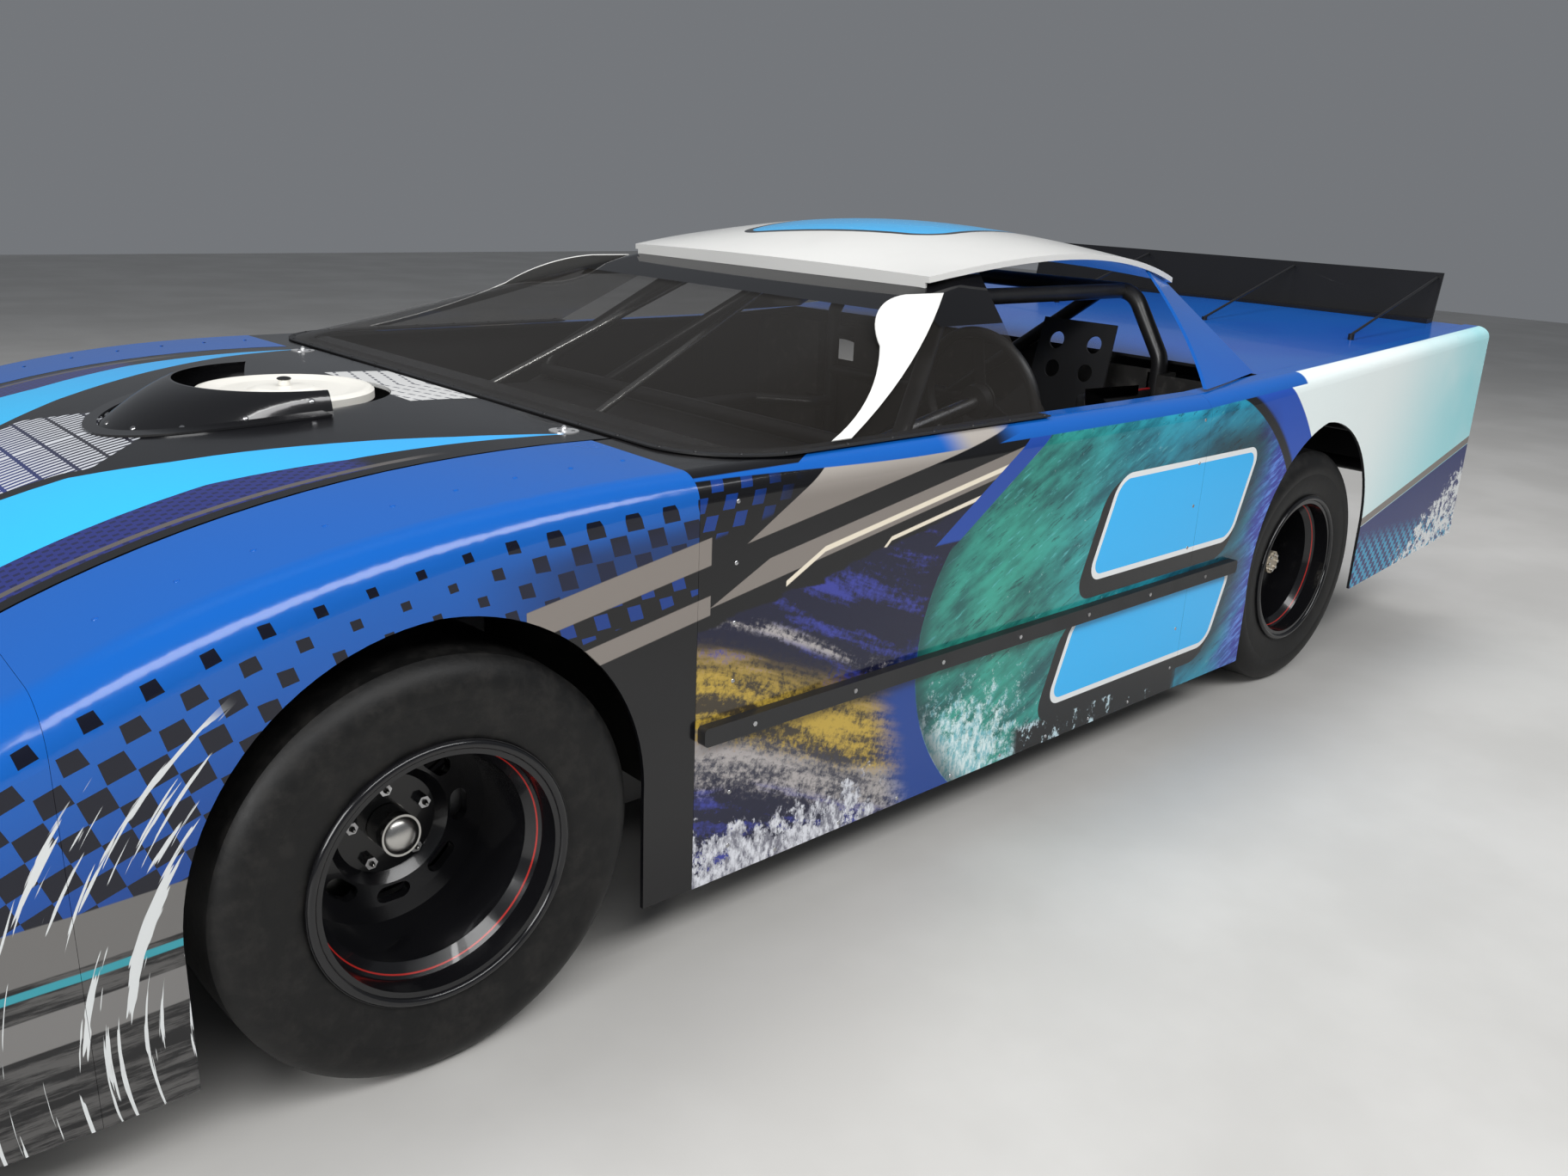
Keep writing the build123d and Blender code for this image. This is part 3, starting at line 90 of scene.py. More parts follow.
# Frame, bumper bars and cage: welded steel tube in satin black enamel, dusty where hands don't reach.
# The paint is mixed here with the two small classes that every other finish below uses too.
class Wire:
    """A socket in a finish's node tree. Sums on wires and numbers add Math nodes."""

    def __init__(self, finish, socket):
        self.finish = finish
        self.socket = socket

    def math(self, kind, *values):
        return self.finish.node("Math", {"operation": kind}, dict(enumerate(values)))

    def __add__(self, other):
        return self.math("ADD", self, other)

    def __radd__(self, other):
        return self.math("ADD", other, self)

    def __sub__(self, other):
        return self.math("SUBTRACT", self, other)

    def __rsub__(self, other):
        return self.math("SUBTRACT", other, self)

    def __mul__(self, other):
        return self.math("MULTIPLY", self, other)

    def __rmul__(self, other):
        return self.math("MULTIPLY", other, self)

    def __truediv__(self, other):
        return self.math("DIVIDE", self, other)

    def __gt__(self, other):
        return self.math("GREATER_THAN", self, other)

    def __lt__(self, other):
        return self.math("LESS_THAN", self, other)

    def __abs__(self):
        return self.math("ABSOLUTE", self)

    def root(self):
        return self.math("SQRT", self)

    def floor(self):
        return self.math("FLOOR", self)

    def fraction(self):
        return self.math("FRACT", self)

    def sine(self):
        return self.math("SINE", self)

    def angle(self, reach):
        """The turn, in radians, of a place that lies this high and that far out."""
        return self.math("ARCTAN2", self, reach)

    def least(self, other):
        return self.math("MINIMUM", self, other)

    def most(self, other):
        return self.math("MAXIMUM", self, other)

    def rise(self, low, high):
        """0 below low, 1 above high, and a smooth step between."""
        smooth = {"interpolation_type": "SMOOTHSTEP"}
        return self.finish.node("MapRange", smooth, {"Value": self, "From Min": low, "From Max": high})

    def past(self, edge):
        """1 beyond an edge and 0 before it, with a step 2 mm wide."""
        return self.rise(edge - 0.001, edge + 0.001)

    def between(self, low, high, soft=0.0012):
        """1 between two values, with soft edges."""
        return self.rise(low - soft, low + soft) * (1 - self.rise(high - soft, high + soft))


class Finish:
    """One material being mixed: its shader, its place wires, and a method that adds any node."""

    def __init__(self, name, **shader):
        self.material = bpy.data.materials.new(name)
        self.material.use_nodes = True
        self.tree = self.material.node_tree
        self.shader = self.tree.nodes["Principled BSDF"]
        for socket, value in shader.items():
            self.shader.inputs[socket.replace("_", " ").title().replace("Ior", "IOR")].default_value = value
        self.place = self.node("TexCoord", out="Object")
        self.x = self.node("SeparateXYZ", None, {"Vector": self.place}, "X")
        self.y = self.node("SeparateXYZ", None, {"Vector": self.place}, "Y")
        self.z = self.node("SeparateXYZ", None, {"Vector": self.place}, "Z")

    def node(self, kind, settings=None, values=None, out=0):
        """Adds a node, sets it up, fills or links its sockets, and returns one output."""
        made = self.tree.nodes.new("ShaderNode" + kind)
        for key, value in (settings or {}).items():
            if key == "stops":
                ramp = made.color_ramp.elements
                for _ in value[2:]:
                    ramp.new(0.5)
                for element, (position, colour) in zip(ramp, value):
                    element.position = position
                    element.color = (*colour, 1)
            else:
                setattr(made, key, value)
        for key, value in (values or {}).items():
            if isinstance(value, Wire):
                self.tree.links.new(value.socket, made.inputs[key])
            else:
                made.inputs[key].default_value = value
        return Wire(self, made.outputs[out])

    def mix(self, mask, under, over):
        """Lays a colour over another where the mask is 1."""
        under, over = ((*c, 1) if isinstance(c, tuple) else c for c in (under, over))
        return self.node("Mix", {"data_type": "RGBA"}, {0: mask, 6: under, 7: over}, 2)

    def noise(self, scale, detail=3.0, rough=0.55, place=None):
        """Even grain over the piece, or over another place that was worked out."""
        values = {"Vector": place or self.place, "Scale": scale, "Detail": detail, "Roughness": rough}
        return self.node("TexNoise", None, values, "Fac")

    def at(self, x, y, z):
        """A place made of three wires or numbers, for grain that follows a direction."""
        return self.node("CombineXYZ", None, {"X": x, "Y": y, "Z": z})

    def line(self, wire, points):
        """A value that follows straight runs through (wire, value) points."""
        low, high = points[0][0], points[-1][0]
        least = min(value for _, value in points)
        span = max(value for _, value in points) - least
        stops = [((at - low) / (high - low), ((value - least) / span,) * 3) for at, value in points]
        ramp = self.node("ValToRGB", {"stops": stops}, {0: (wire - low) / (high - low)})
        return ramp * span + least

    def bump(self, height, distance, strength):
        """Raises the surface by a wire's height over a distance in metres."""
        values = {"Height": height, "Distance": distance, "Strength": strength}
        made = self.node("Bump", None, values, "Normal")
        self.tree.links.new(made.socket, self.shader.inputs["Normal"])

    def feed(self, **sockets):
        """Links wires to the shader's own sockets."""
        for socket, value in sockets.items():
            self.tree.links.new(value.socket, self.shader.inputs[socket.replace("_", " ").title()])

    def onto(self, *names):
        """Gives this finish to CAD nodes by name."""
        for name in names:
            mesh = nodes[name].data
            mesh.materials.clear()
            mesh.materials.append(self.material)


bare_black = (0.012, 0.012, 0.013)
enamel = Finish("satin_black_enamel")
dust = enamel.noise(6, 4).rise(0.45, 0.75) * 0.5
enamel.feed(base_color=enamel.mix(dust, bare_black, (0.035, 0.033, 0.031)), roughness=0.32 + 0.3 * dust)
enamel.bump(enamel.noise(90, 2), 0.0004, 0.3)
enamel.onto(
    "main_frame", "front_clip", "bumper_bars",
    "cage_main_hoop", "cage_roof_hoop", "cage_door_bars", "cage_braces",
)

# Studio floor: pale poured concrete with a faint mottle, so that the tyres sit on something.
# It is staging and isn't part of the car.
pale = Finish("pale_floor", roughness=0.5)
pale.feed(base_color=pale.mix(pale.noise(1.3, 5).rise(0.35, 0.7), (0.50, 0.49, 0.47), (0.57, 0.56, 0.54)))
floor_mesh.materials.append(pale.material)

# Tow eyes, suspension arms, rods and hinges: plated and bare steel with turned marks.
# A little oil darkens it in patches.
bright_steel = Finish("plated_steel", metallic=1.0)
oil = bright_steel.noise(14, 4).rise(0.4, 0.8)
bright_steel.feed(
    base_color=bright_steel.mix(oil, (0.52, 0.52, 0.53), (0.22, 0.21, 0.20)), roughness=0.24 + 0.3 * oil
)
bright_steel.bump(bright_steel.noise(220, 2), 0.0002, 0.3)
bright_steel.onto(
    "tow_eyes", "front_arms", "steering_rack", "tie_rods", "rear_links",
    "drive_shaft", "steering_column", "hood_hinges",
)

# Engine, gearbox, knuckles and rear axle: cast iron and cast aluminium with a sandy skin.
# Oil mist leaves them darker in the hollows.
casting = Finish("sand_casting", metallic=0.75, roughness=0.55)
oil_free = casting.noise(9, 4).rise(0.4, 0.7)
casting.feed(base_color=casting.mix(oil_free, (0.12, 0.12, 0.125), (0.26, 0.26, 0.26)))
casting.bump(casting.noise(160, 3), 0.0008, 0.6)
casting.onto("engine_block", "gearbox", "rear_axle", "knuckle_left", "knuckle_right")

# Cabin tin: thin sheet over the floor, firewall and tunnel, painted satin black and scuffed by boots.
# The radiator's core and tanks are bare aluminium.
cabin_black = Finish("cabin_tin_black")
scuffs = cabin_black.noise(30, 4, 0.6, cabin_black.at(cabin_black.x * 0.2, cabin_black.y, cabin_black.z))
cabin_black.feed(
    base_color=cabin_black.mix(scuffs.rise(0.5, 0.8), (0.020, 0.019, 0.018), (0.060, 0.056, 0.052)),
    roughness=0.36 + 0.3 * scuffs,
)
cabin_black.bump(scuffs, 0.0004, 0.25)
cabin_black.onto("cabin_tin")
aluminium = Finish("bare_aluminium", metallic=1.0)
scratch = aluminium.noise(30, 4, 0.6, aluminium.at(aluminium.x, aluminium.y * 14, aluminium.z * 14))
aluminium.feed(
    base_color=aluminium.mix(scratch, (0.42, 0.43, 0.44), (0.60, 0.61, 0.62)), roughness=0.26 + 0.22 * scratch
)
aluminium.bump(scratch, 0.0003, 0.25)
aluminium.onto("radiator")

# Dash, fuel cell, grille, seat shell, rub rails and trim: satin black sheet and plastic.
# A fine grain and worn patches break up the gloss.
black_plastic = Finish("satin_black_plastic", base_color=(0.014, 0.014, 0.015, 1))
black_plastic.bump(black_plastic.noise(340, 2), 0.0003, 0.5)
black_plastic.feed(roughness=0.36 + 0.2 * black_plastic.noise(11, 3))
black_plastic.onto(
    "dash_panel", "fuel_cell", "grille_screen", "rub_rails", "windscreen_trim", "steering_wheel", "seat"
)

# Springs over dampers: powder-coated wire.
# The coat is smooth, with dust in the low places.
spring_coat = Finish("spring_powder_coat", roughness=0.35)
settled = spring_coat.noise(8, 3)
spring_coat.feed(base_color=spring_coat.mix(settled, (0.02, 0.02, 0.022), (0.05, 0.05, 0.055)))
spring_coat.onto("front_springs", "rear_springs")

# Front fenders: sheet panels wrapped in glossy printed film, royal blue over the top, with dark
# squares that shrink towards the shoulder, and brushed grey, black and flung white strokes by the wheel.
royal_blue = (0.005, 0.100, 0.42)
deep_blue = (0.004, 0.036, 0.21)
deep_navy = (0.004, 0.009, 0.042)
film_black = (0.004, 0.004, 0.005)
taupe = (0.215, 0.190, 0.170)
cream = (0.80, 0.72, 0.58)
cyan = (0.030, 0.46, 0.92)
splash_white = (0.78, 0.80, 0.80)
film_gloss = {"coat_weight": 0.2, "coat_roughness": 0.04, "specular_ior_level": 0.4}
taupe_bars = ((0.866, 0.913), (0.780, 0.814))
wheel_bands = (
    # low edge, high edge, colour
    (0.316, 0.366, (0.17, 0.165, 0.16)),
    (0.395, 0.406, (0.03, 0.28, 0.34)),
    (0.414, 0.486, (0.14, 0.135, 0.13)),
)
check_cell, check_share = 0.031, 0.8
body_middle = 0.45


def film_skin(film, colour):
    """Printed film over the outside of a sheet, a little rippled, and the bare black back of the sheet.

    The outside is the side that faces away from the middle of the body.
    """
    turned = film.node("TexCoord", out="Normal")
    across, aside, above = (film.node("SeparateXYZ", None, {"Vector": turned}, axis) for axis in "XYZ")
    outward = 0.3 * across * film.x + aside * film.y + above * (film.z - body_middle)
    back = 1 - outward.rise(-0.02, 0.02)
    film.feed(base_color=film.mix(back, colour, bare_black))
    film.bump(film.noise(60, 2) * 0.2 + film.noise(5, 2) * 0.8, 0.0022, 0.25)
    film.feed(roughness=(0.12 + 0.1 * film.noise(3, 4)).most(back * 0.5))


def squares(film, across, down, cell, share):
    """1 inside alternate squares of a grid, each filling a share of its cell."""
    column = across / cell
    row = down / cell
    odd = column.floor() + row.floor()
    odd = odd.math("PINGPONG", odd, 1.0)
    in_column = abs(column.fraction() - 0.5) < share * 0.5
    in_row = abs(row.fraction() - 0.5) < share * 0.5
    return (odd > 0.5) * in_column * in_row


def below_shoulder(film):
    """How far a place on the side lies below the shoulder of the body."""
    shoulder = film.line(
        film.x,
        [
            (-2.42, 0.964), (-1.5, 0.912), (-0.7, 0.872), (0.8, 0.872),
            (1.25, 0.856), (1.56, 0.803), (1.8, 0.722), (2.1, 0.59), (2.42, 0.335),
        ],
    )
    return shoulder - film.z


def slant(film):
    """Height measured along the livery's forward-falling bars."""
    return film.z + 0.176 * film.x


def fender_colours(film):
    """Royal blue over the top, shrinking squares, and the brushed bands and strokes by the wheel."""
    x, y, z = film.x, film.y, film.z
    drop = below_shoulder(film)
    half_width = film.line(x, [(0.7, 0.97), (1.8, 0.968), (2.1, 0.945), (2.33, 0.85), (2.42, 0.70)])
    side = (abs(y) - half_width).rise(-0.07, -0.03)
    front = x.rise(1.35, 1.70)
    tail = 1 - x.rise(1.05, 1.30)
    colour = film.mix(drop.rise(0.02, 0.34), royal_blue, (0.003, 0.045, 0.24))
    share = (front * drop.rise(-0.02, 0.16) * 0.62).most(tail * drop.rise(0.02, 0.05) * 0.5) + 0.38
    check = squares(film, x + 0.3 * drop, drop + 0.004, 0.035, share)
    colour = film.mix(check * drop.rise(0.022, 0.03) * side, colour, (0.003, 0.004, 0.012))
    colour = film.mix(tail * drop.rise(0.05, 0.10) * side * 0.7, colour, deep_navy)
    brushed = film.noise(16, 5, 0.7, film.at(x * 0.5, y, z * 5))
    grey = film.mix(brushed.rise(0.42, 0.62) * 0.5, film_black, (0.15, 0.145, 0.14))
    bands = z + 0.02 * x
    for low, high, band in wheel_bands:
        grey = film.mix(bands.between(low, high), grey, band)
    ahead_of_wheel = x.rise(1.55, 1.60)
    colour = film.mix((1 - bands.rise(0.484, 0.487)) * ahead_of_wheel * side, colour, grey)
    flung_along, flung_up = x - 1.30, z - 0.10
    reach = (flung_along * flung_along + flung_up * flung_up).root()
    turn = flung_up.angle(flung_along)
    fling = film.at(turn * 0.75, reach * 17 - turn * 1.6, y)
    strokes = film.noise(1.6, 4, 0.6, fling)
    thin = film.noise(4.5, 3, 0.5, film.at(turn * 0.45, reach * 22 - turn * 3.0, y))
    low_front = (1 - reach.rise(0.60, 0.72)) * (1 - turn.rise(0.80, 1.15))
    flung = (strokes + 0.05 * low_front).rise(0.655, 0.665)
    flung = flung.most((thin + 0.05 * low_front).rise(0.665, 0.675))
    colour = film.mix(flung * low_front.rise(0.02, 0.2) * side * ahead_of_wheel, colour, (0.62, 0.64, 0.64))
    bar = slant(film)
    behind_wheel = (1 - x.past(1.173)) * side
    colour = film.mix((1 - bar.past(0.913)) * behind_wheel, colour, film_black)
    blue_check = squares(film, x + 0.3 * drop, drop + 0.004, check_cell, check_share)
    colour = film.mix(bar.between(0.826, 0.866) * blue_check * behind_wheel, colour, deep_blue)
    for low, high in taupe_bars:
        colour = film.mix(bar.between(low, high) * behind_wheel, colour, taupe)
    cowl_corner = (1 - (x - 0.14 * (abs(y) - 0.70)).rise(0.8175, 0.8185)) * z.rise(0.855, 0.858)
    colour = film.mix(cowl_corner, colour, film_black)
    return colour


fender_film = Finish("fender_film", **film_gloss)
film_skin(fender_film, fender_colours(fender_film))
fender_film.onto("front_fenders")


# Doors: flat sheets with a rolled shoulder, wrapped in a printed design of our own: slanted taupe bars,
# navy and gold swashes, a rounded field of sea-green water, two blank cyan panels and spray along the sill.
oval_height = 0.42
water_field = (-0.45, 0.76, 0.52)
blue_arc = (-0.52, 0.83, 0.62)
# Each blank plate's middle along the car, height, half length and half height.
blank_plates = ((-0.61, 0.61, 0.30, 0.105), (-0.53, 0.32, 0.33, 0.090))
plate_shadows = ((-0.585, 0.585, 0.30, 0.105), (-0.505, 0.30, 0.33, 0.090))


def water_colours(film):
    """Streaky sea-green water that turns violet towards the rear wheel."""
    x, z = film.x, film.z
    along = z * 0.42 - x * 0.91
    over = x * 0.42 + z * 0.91
    broad = film.noise(5, 5, 0.62, film.at(along * 0.8, film.y, over * 1.3))
    streak = broad * 0.55 + film.noise(13, 5, 0.62, film.at(along * 0.5, film.y, over * 2.4)) * 0.45
    fine = film.noise(46, 4, 0.7, film.at(along * 0.35, film.y, over * 2.2))
    forward = x.rise(-0.75, 0.05)
    deep = film.mix(forward, (0.004, 0.100, 0.180), (0.005, 0.090, 0.085))
    pale = film.mix(forward, (0.020, 0.36, 0.54), (0.035, 0.34, 0.26))
    water = film.mix(streak.rise(0.36, 0.62), deep, pale)
    water = film.mix(fine.rise(0.60, 0.70) * 0.5, water, (0.12, 0.52, 0.55))
    water = film.mix((1 - fine.rise(0.33, 0.42)) * 0.6, water, (0.002, 0.025, 0.04))
    violet = film.mix(fine.rise(0.45, 0.66), (0.02, 0.035, 0.33), (0.10, 0.24, 0.72))
    return film.mix(1 - (x + 0.3 * (streak - 0.5) + 0.12 * z).rise(-0.99, -0.80), water, violet)


def oval(film, centre, half_long, half_high):
    """1 along an oval about a place on the side, less inside."""
    across = (film.x - centre) / half_long
    rise = (film.z - oval_height) / half_high
    return across * across + rise * rise


def panel_edge(film, centre, height, half_long, half_high):
    """Distance outside a slanted round-cornered panel, in metres."""
    corner, lean = 0.035, 0.37
    across = (abs(film.x + lean * (film.z - height) - centre) - (half_long - corner)).most(0)
    rise = (abs(film.z - height) - (half_high - corner)).most(0)
    return (across * across + rise * rise).root() - corner


def blank_panels(film, colour):
    """Lays two blank cyan panels with a white edge and a black drop shadow over the door and quarter."""
    panels, shadow = (
        panel_edge(film, *upper).least(panel_edge(film, *lower))
        for upper, lower in (blank_plates, plate_shadows)
    )
    shade = (1 - panels.rise(0.02, 0.14)) * (1 - film.x.rise(-0.85, -0.35)) * 0.85
    colour = film.mix(shade.most(1 - shadow.rise(0.026, 0.029)), colour, film_black)
    colour = film.mix(1 - panels.rise(0.0125, 0.0135), colour, splash_white)
    return film.mix(1 - panels.rise(-0.0005, 0.0005), colour, cyan)


door_film = Finish("door_film", **film_gloss)
x, y, z = door_film.x, door_film.y, door_film.z
bar = slant(door_film)
blue_check = squares(door_film, x + 0.3 * z, z, check_cell, check_share)
colour = door_film.mix(blue_check * x.rise(0.62, 0.80) * bar.rise(0.905, 0.915), film_black, deep_blue)
cut_front = x.past(0.829)
for low, high in taupe_bars:
    colour = door_film.mix(bar.between(low, high) * cut_front, colour, taupe)
broad = bar.past(0.877) * (1 - (z + 0.6 * x).past(1.196))
# Painted highlight: the broad taupe band turns lighter towards its top, by the shoulder.
colour = door_film.mix(broad, colour, door_film.mix(z.rise(0.80, 0.85), taupe, (0.36, 0.33, 0.30)))
colour = door_film.mix(bar.between(0.792, 0.834) * (1 - (z + 0.5 * x).past(1.061)), colour, taupe)
cream_lines = (
    # where it bends, how steeply, low edge, high edge, front end
    (0.57, 0.35, 0.801, 0.811, 0.661),
    (0.40, 0.75, 0.764, 0.772, 0.461),
)
for bend, slope, low, high, end in cream_lines:
    hook = (x - bend).most(0)
    colour = door_film.mix((bar + slope * hook).between(low, high) * (1 - x.past(end)), colour, cream)
swash = z + 0.085 * (x * 4.6 + 0.5).sine() - 0.10 * x
dither = door_film.noise(90, 3, 0.75) - 0.5
sweep = door_film.noise(7, 4, 0.6, door_film.at(x * 0.5, y, swash * 3))
navy = door_film.mix((sweep + 0.3 * dither).rise(0.50, 0.68), (0.005, 0.006, 0.028), (0.035, 0.045, 0.30))
streaks = (sweep + 0.6 * dither).rise(0.36, 0.62)
gold = door_film.mix(streaks, (0.045, 0.034, 0.02), (0.50, 0.34, 0.05))
pearl = door_film.mix(streaks, (0.05, 0.05, 0.07), (0.40, 0.37, 0.36))
torn_swash = swash + 0.10 * dither
art = door_film.mix(torn_swash.between(0.24, 0.40, 0.045), navy, gold)
art = door_film.mix(torn_swash.between(0.17, 0.25, 0.03), art, pearl)
art = door_film.mix(swash.between(0.455, 0.478, 0.010) * (sweep + dither * 0.4).rise(0.42, 0.60), art, pearl)
lower_art = 1 - (bar + 0.06 * (sweep - 0.5)).rise(0.752, 0.758)
colour = door_film.mix(lower_art, colour, art)
ahead_of_water = (x - 0.3 * z + 0.10 * (sweep - 0.5)).rise(0.24, 0.34)
near_water = (1 - ahead_of_water) * (1 - (z + 0.4 * x).rise(0.50, 0.62))
colour = door_film.mix(near_water, colour, (0.004, 0.045, 0.26))
spray = door_film.noise(26, 6, 0.78, door_film.at(x, y, z * 0.7))
burst = (1 - z.rise(0.13, 0.31)) * x.rise(0.30, 0.50)
drift = door_film.noise(55, 5, 0.7, door_film.at(x * 1.6, y, z * 0.8)).rise(0.36, 0.62)
mist = door_film.mix(drift, (0.16, 0.16, 0.20), (0.70, 0.71, 0.76))
colour = door_film.mix((spray + 0.30 * burst).rise(0.66, 0.74) * burst.rise(0.02, 0.2), colour, mist)
steep = x + 1.5 * (z - 0.66)
colour = door_film.mix(steep.between(0.205, 0.277) * z.rise(0.66, 0.665), colour, (0.012, 0.06, 0.34))
field = oval(door_film, *water_field) + 0.02 * (sweep - 0.5)
water = water_colours(door_film)
foam_reach = (1 - z.rise(0.13, 0.47)) * x.rise(-0.30, 0.22)
foam = door_film.noise(30, 7, 0.8)
froth = door_film.mix(drift, (0.16, 0.46, 0.52), (0.70, 0.84, 0.84))
water = door_film.mix((foam + 0.34 * foam_reach).rise(0.62, 0.76), water, froth)
in_field = (1 - field.rise(0.975, 0.985)) * (1 - steep.past(0.205) * z.rise(0.62, 0.66))
colour = door_film.mix(in_field, colour, water)
rim_shade = in_field * field.rise(0.80, 0.98) * x.rise(-0.1, 0.1) * 0.8
colour = door_film.mix(rim_shade, colour, (0.004, 0.03, 0.04))
behind_low = (1 - z.rise(0.185, 0.20)) * (1 - x.rise(-0.06, -0.02))
sill = door_film.mix((spray + 0.10 * x.rise(-0.7, 0.0)).rise(0.60, 0.68), film_black, (0.52, 0.68, 0.74))
colour = door_film.mix(behind_low * x.rise(-0.72, -0.68), colour, sill)
colour = blank_panels(door_film, colour)
bar_end = bar.past(0.861) * x.between(0.06, 0.22, 0.05)
belt = (z - 0.015 * x.rise(0.3, 0.9)).past(0.844) * (1 - bar_end)
colour = door_film.mix(belt, colour, royal_blue)
cowl_corner = (x - 2.0 * (abs(y) - 0.937)).past(0.601) * z.past(0.863)
colour = door_film.mix(cowl_corner, colour, film_black)
film_skin(door_film, colour)
door_film.onto("door_panels")

# Rear quarters: the same film runs from the water field through a black and a blue arc over the wheel
# into white and pale aqua, with a taupe bar and small navy squares low down at the tail.
quarter_film = Finish("quarter_film", **film_gloss)
x, y, z = quarter_film.x, quarter_film.y, quarter_film.z
aqua = quarter_film.mix(1 - (x + 0.5 * z).rise(-2.0, -1.2), (0.86, 0.94, 0.93), (0.38, 0.80, 0.85))
aqua = quarter_film.mix(quarter_film.noise(2.4, 3).rise(0.45, 0.8) * 0.4, aqua, (0.85, 0.95, 0.95))
slope = z + 0.235 * x
small = squares(quarter_film, x + 0.2 * z, slope, 0.019, 1.0)
tail_navy = (0.006, 0.018, 0.14)
low_front = 1 - (slope - 0.25 * (x + 1.6)).rise(-0.06, 0.02)
blue_squares = quarter_film.mix(small, tail_navy, (0.03, 0.33, 0.55))
low_print = quarter_film.mix(low_front, tail_navy, blue_squares)
aqua = quarter_film.mix(1 - slope.rise(0.012, 0.016), aqua, low_print)
aqua = quarter_film.mix(slope.between(0.016, 0.040), aqua, taupe)
fleck = quarter_film.noise(26, 6, 0.78)
low_tail = (1 - (slope + 0.35 * (x + 2.4)).rise(-0.12, 0.02)) * (1 - slope.rise(-0.04, -0.01))
splashed = (fleck + 0.16 * low_tail).rise(0.60, 0.68) * low_tail.rise(0.1, 0.4)
aqua = quarter_film.mix(splashed, aqua, splash_white)
field = oval(quarter_film, *water_field)
in_arc = 1 - oval(quarter_film, *blue_arc).rise(0.985, 0.995)
colour = quarter_film.mix(in_arc, aqua, (0.010, 0.075, 0.45))
colour = quarter_film.mix((1 - field.rise(1.05, 1.10)) * in_arc, colour, film_black)
colour = quarter_film.mix(1 - field.rise(0.975, 0.985), colour, water_colours(quarter_film))
colour = blank_panels(quarter_film, colour)
drop = below_shoulder(quarter_film)
colour = quarter_film.mix((1 - drop.past(0.027)) * x.rise(-1.18, -1.17), colour, royal_blue)
colour = quarter_film.mix(1 - abs(y).rise(0.925, 0.93), colour, royal_blue)
film_skin(quarter_film, colour)
quarter_film.onto("quarter_panels")

# Rear deck, tail and sail panels: sheet covered in plain royal blue film.
# The blue varies a little over the broad panels.
blue_film = Finish("plain_blue_film", **film_gloss)
film_skin(blue_film, blue_film.mix(blue_film.noise(1.7, 3).rise(0.3, 0.8), royal_blue, (0.007, 0.075, 0.40)))
blue_film.onto("rear_deck", "tail_panel", "sail_panels")

# Hood: one broad sheet in gloss black film with two cyan swooshes that run back to points by the pins,
# navy dashes outside them, fine white lines between them at the front and a white louvre print by the glass.
def centre_print(film, under):
    """The black centre, cyan swooshes and dashed navy sides, on the hood and on over the nose."""
    x, y = film.x, abs(film.y)
    outer = film.line(x, [(0.86, 0.602), (1.25, 0.562), (1.45, 0.505), (1.80, 0.515), (2.42, 0.470)])
    inner = film.line(
        x,
        [
            (0.86, 0.600), (1.05, 0.535), (1.24, 0.445), (1.45, 0.335),
            (1.58, 0.245), (1.80, 0.205), (2.20, 0.300), (2.42, 0.480),
        ],
    )
    swoosh = (outer - y).past(0) * (y - inner).past(0) * x.rise(0.865, 0.875)
    rim = 0.632 - (x - 1.80).most(0) * 0.22
    navy_side = (y - outer).past(0.001) * (1 - (y - rim).past(0.001)) * x.rise(1.22, 1.27)
    dashes = squares(film, x, y + 0.2 * x, 0.0115, 0.74)
    navy = film.mix(dashes * 0.7, (0.014, 0.022, 0.16), (0.004, 0.006, 0.03))
    colour = film.mix(1 - (y - inner).past(0), under, film_black)
    colour = film.mix(navy_side, colour, navy)
    swoosh_colour = film.mix(x.rise(1.15, 1.6), (0.030, 0.42, 0.90), (0.022, 0.50, 0.93))
    colour = film.mix(swoosh, colour, swoosh_colour)
    bars_along = (x / 0.052).fraction() < 0.88
    bars_across = (y / 0.017).fraction() < 0.5
    front_print = x.past(1.436) * (1 - (y - inner + 0.035).past(0))
    front_print = front_print * (1 - (y - 0.9 * (x - 1.28)).past(0)) * (1 - x.rise(2.05, 2.25))
    ground = film.mix(x.rise(1.5, 1.72), (0.02, 0.02, 0.03), (0.02, 0.04, 0.22))
    colour = film.mix(front_print, colour, ground)
    return film.mix(front_print * bars_along * bars_across, colour, (0.62, 0.64, 0.68))


hood_film = Finish("hood_film", **film_gloss)
x, y = hood_film.x, abs(hood_film.y)
colour = centre_print(hood_film, film_black)
colour = hood_film.mix((y + 0.02 * x).between(0.640, 0.655) * x.rise(1.10, 1.20), colour, (0.10, 0.09, 0.085))
slots_along = ((x + 0.25 * y) / 0.034).fraction() < 0.20
slots_across = (y / 0.030).fraction() < 0.68
rear_print = x.between(0.815, 0.960, 0.001) * (1 - y.rise(0.20, 0.201))
colour = hood_film.mix(rear_print, colour, (0.76, 0.76, 0.75))
colour = hood_film.mix(rear_print * slots_along * slots_across, colour, (0.16, 0.16, 0.18))
film_skin(hood_film, colour)
hood_film.onto("hood")

# Nose cover: one moulded piece ahead of the hood and the fenders, in the same two films.
# The hood's print runs on over its top and the fenders' print round its sides.
nose_film = Finish("nose_film", **film_gloss)
film_skin(nose_film, centre_print(nose_film, fender_colours(nose_film)))
nose_film.onto("nose_cover")

# Cowl panel: black film under the windscreen's foot, cut slantwise at its outer corners.
# It lies between the hood's rear edge and the glass.
cowl_film = Finish("cowl_film", **film_gloss)
film_skin(cowl_film, cowl_film.mix(cowl_film.noise(4, 3), film_black, (0.010, 0.009, 0.009)))
cowl_film.onto("cowl_panel")

